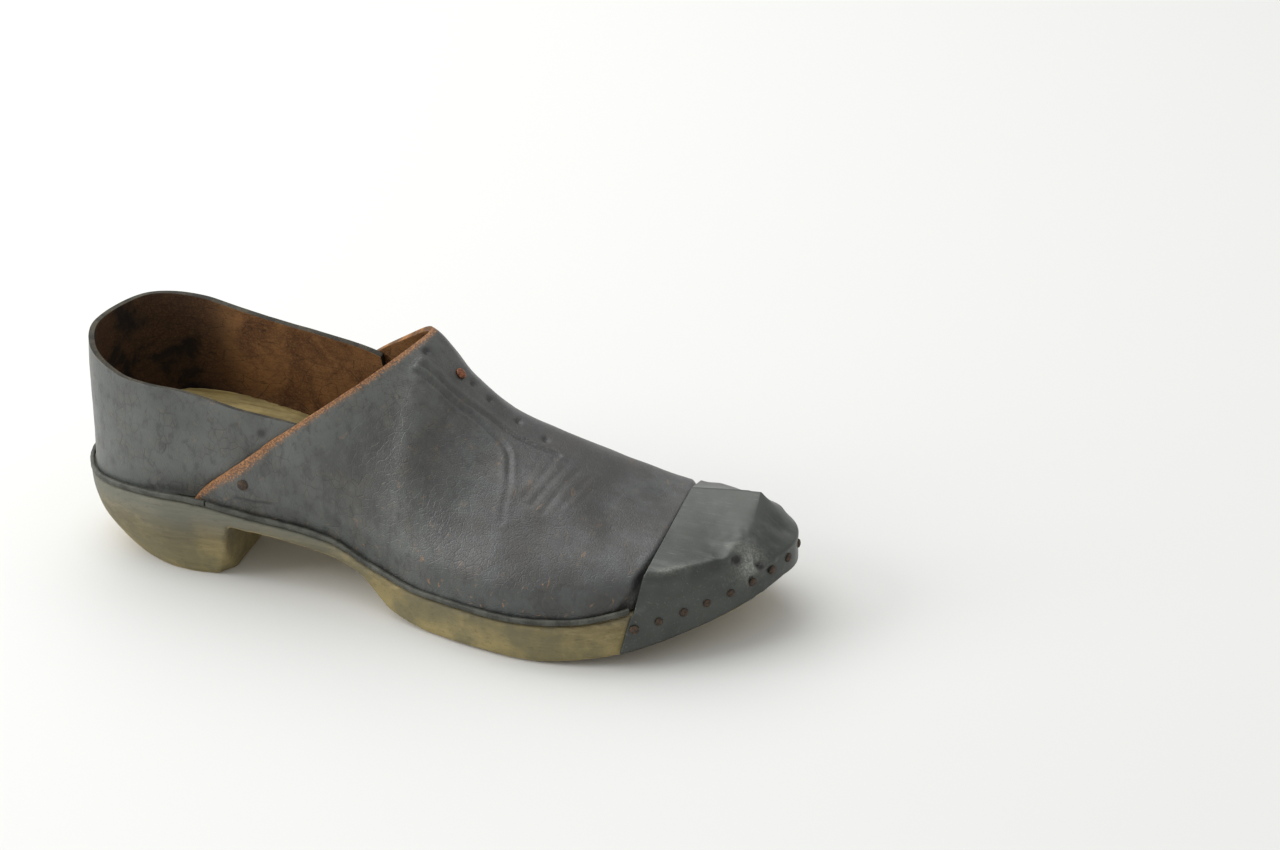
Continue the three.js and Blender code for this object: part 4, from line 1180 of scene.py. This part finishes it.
def iron_finish():
    material, shader, place = finish("dulled_sheet_iron")
    cloud = place.noise(0.04, 3, 0.5, 0.3)
    streak = place.stretched(0.03, 0.3, 0.22).noise(1.0, 4, 0.55, 0.4)
    fine = place.noise(1.2, 5, 0.7)
    scratch = place.stretched(0.14, 2.2, 1.2).noise(1.0, 4, 0.7)
    rusting = place.noise(0.35, 6, 0.7)
    height = axis(place, 2)
    low = 1 - height.step(20, 32)
    colour = cloud.step(0.3, 0.7).mix(tint(58, 61, 58), tint(76, 79, 75))
    colour = (scratch.step(0.58, 0.7) * 0.4).mix(colour, tint(128, 130, 124))
    rust_spots = rusting.step(0.58, 0.7) * (0.2 + 0.4 * low)
    # painted shade: a darker band from about 29 to 42 mm up, below the ridge, broken by streaks
    painted_shade_band = height.step(29, 34) * (1 - height.step(35, 42)) * streak.step(0.35, 0.6)
    colour = (painted_shade_band * 0.6).mix(colour, tint(50, 53, 50))
    colour = rust_spots.mix(colour, tint(80, 62, 46))
    # worn lightens bare metal round the knocked corner; above the side crease near the rear it is a painted
    # highlight
    worn = marked(place, "worn")
    colour = (worn * (0.35 + fine.step(0.4, 0.62) * 0.65)).mix(colour, tint(168, 170, 163))
    # painted shade: the punctures are painted near black, and not metallic
    pit_shade = marked(place, "pit_shade")
    colour = pit_shade.mix(colour, tint(12, 12, 11))
    feed(
        shader,
        Base_Color=colour,
        Metallic=0.5 * (1 - rust_spots * 0.7) * (1 - pit_shade),
        Roughness=0.3 + cloud * 0.16 + rust_spots * 0.25,
        Normal=(fine * 0.5 + scratch * 0.4 + cloud).bump(0.22, 0.0005),
    )
    return material


sheet_iron = iron_finish()
cap_nail_nodes = numbered("cap_nail_")
cap_nail_spots = [node_centre(node) for node in cap_nail_nodes]
crumpled_corner = np.array([260, -17, 30])
punctures = [(256.7, -21.3, 33.8), (263.9, -14.9, 29.3)]
# knocks: place, breadth and depth, with a negative depth for a bump
knocks = [
    (punctures[0], 2.2, 1.0),
    (punctures[1], 2.2, 1.3),
    ((266.3, 4.5, 33.7), 4.0, 1.2),
    ((260.4, -17.0, 31.9), 2.6, -0.9),
    ((262.0, -16.0, 25.0), 3.0, 0.7),
    ((254.6, -16.3, 36.7), 3.0, -0.6),
    ((247.0, -12.0, 38.5), 7.0, 0.5),
    ((266.5, -9.0, 34.0), 3.0, -0.5),
]


def cap_form(points):
    depth = np.zeros(len(points))
    for at, breadth, deep in knocks:
        depth -= deep * bell(distance(points, at), breadth)
    for at in cap_nail_spots:
        depth -= 0.45 * bell(distance(points, at), 3.2)
    corner = bell(distance(points, crumpled_corner), 11)
    for i, p in enumerate(points):
        depth[i] += 0.2 * rumple(p, 16, 15) + 0.05 * rumple(p, 4.5, 16)
        depth[i] += corner[i] * 1.7 * rumple(p, 4.2, 17)
    return depth


cap_skin = skin(cap_at, 260, 90)
bmesh.ops.remove_doubles(cap_skin, verts=cap_skin.verts, dist=0.05 * MM)
crest = Vector(settled(crest_spot))
near_crest = [v for v in cap_skin.verts if (v.co - crest).length < 4 * MM]
for _ in range(5):
    bmesh.ops.smooth_vert(
        cap_skin, verts=near_crest, factor=0.5, use_axis_x=True, use_axis_y=True, use_axis_z=True
    )
sculpt(cap_skin, cap_form)
cap = piece(cap_skin, "toe_cap_sheet", [sheet_iron])


# bare metal round the knocked corner, and a painted highlight in a band just above the side crease near the
# rear
def cap_wear_and_highlight(points):
    away = distance(points, crumpled_corner + (0, 0, 1))
    fold = cap_corners(np.linspace(0.01, 0.3, 80))[2] + np.array([0, 0, 1.4])
    beside = np.array([np.min(distance(fold, p)) for p in points])
    crease_highlight = bell(beside, 2.0) * (1 - smoothstep(points[:, 0], 234, 252))
    return np.clip(0.75 * bell(away, 6) + 0.6 * crease_highlight, 0, 1)


# painted shade: the two punctures are painted near black
def cap_pit_shade(points):
    depth = np.zeros(len(points))
    for at in punctures:
        middle = points[np.argmin(distance(points, at))]
        depth = np.maximum(depth, 1.5 * bell(distance(points, middle), 1.7))
    return np.clip(depth, 0, 1)


mark(cap, "worn", cap_wear_and_highlight)
mark(cap, "pit_shade", cap_pit_shade)
thicken(cap, SHEET, 0.0)
wall = cap.modifiers["thickness"]
wall.use_even_offset = False
wall.material_offset = wall.material_offset_rim = 0
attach(cap, "root")
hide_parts("toe_cap")

heads = bmesh.new()
way = np.linspace(0, 1, 2000)
ring = outline(way, np.full_like(way, CAP_INSET))
for at in cap_nail_spots:
    nearest = way[np.argmin(distance(ring, at[:2]))]
    here = outline(np.array([nearest]), np.array([CAP_INSET]))[0]
    outside = outline(np.array([nearest]), np.array([CAP_INSET - 1.0]))[0]
    out = np.array([*(outside - here), 0.0])
    spot = np.array([*here, at[2]]) - out * 0.1
    add_nail(heads, spot, out, CAP_NAIL_RADIUS, CAP_NAIL_RISE, 16, 10)
cap_nails = piece(heads, "cap_nail_heads", [rust])
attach(cap_nails, "root")
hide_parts(*cap_nail_nodes)


# ---- the studio ------------------------------------------------------------------------------------
# A wide pale floor, one big soft light high up behind the clog on the left, a weaker one from the
# left, and a camera with a long lens that looks down on the clog.
def floor_finish():
    material, shader, _ = finish("pale_paper")
    feed(shader, Base_Color=(0.635, 0.64, 0.627, 1), Roughness=0.7, Specular_IOR_Level=0.2)
    return material


ground = bmesh.new()
bmesh.ops.create_grid(ground, x_segments=1, y_segments=1, size=6)
floor = piece(ground, "floor", [floor_finish()], smooth=False)

world = bpy.data.worlds.new("studio")
world.use_nodes = True
world.node_tree.nodes["Background"].inputs["Color"].default_value = (1, 1, 0.985, 1)
world.node_tree.nodes["Background"].inputs["Strength"].default_value = 0.7
bpy.context.scene.world = world
bpy.context.scene.view_settings.view_transform = "Standard"


def add_light(name, place, target, size, power):
    lamp = bpy.data.lights.new(name, "AREA")
    lamp.shape = "SQUARE"
    lamp.size = size
    lamp.energy = power
    made = bpy.data.objects.new(name, lamp)
    made.location = place
    made.rotation_euler = (Vector(target) - Vector(place)).to_track_quat("-Z", "Y").to_euler()
    bpy.context.scene.collection.objects.link(made)


add_light("soft_box", (-0.75, 0.55, 1.5), (0, 0, 0.03), 2.1, 30)
add_light("fill", (-1.6, -0.7, 0.9), (0, 0, 0.03), 1.0, 22)

lens = bpy.data.cameras.new("camera")
lens.lens = 85.9
lens.sensor_width = 36
lens.clip_start = 0.05
camera = bpy.data.objects.new("camera", lens)
camera.location = (0.3507, -0.9175, 0.5836)
camera.rotation_euler = Euler((math.radians(90 - 28), 0, math.radians(16.42)))
bpy.context.scene.collection.objects.link(camera)
bpy.context.scene.camera = camera
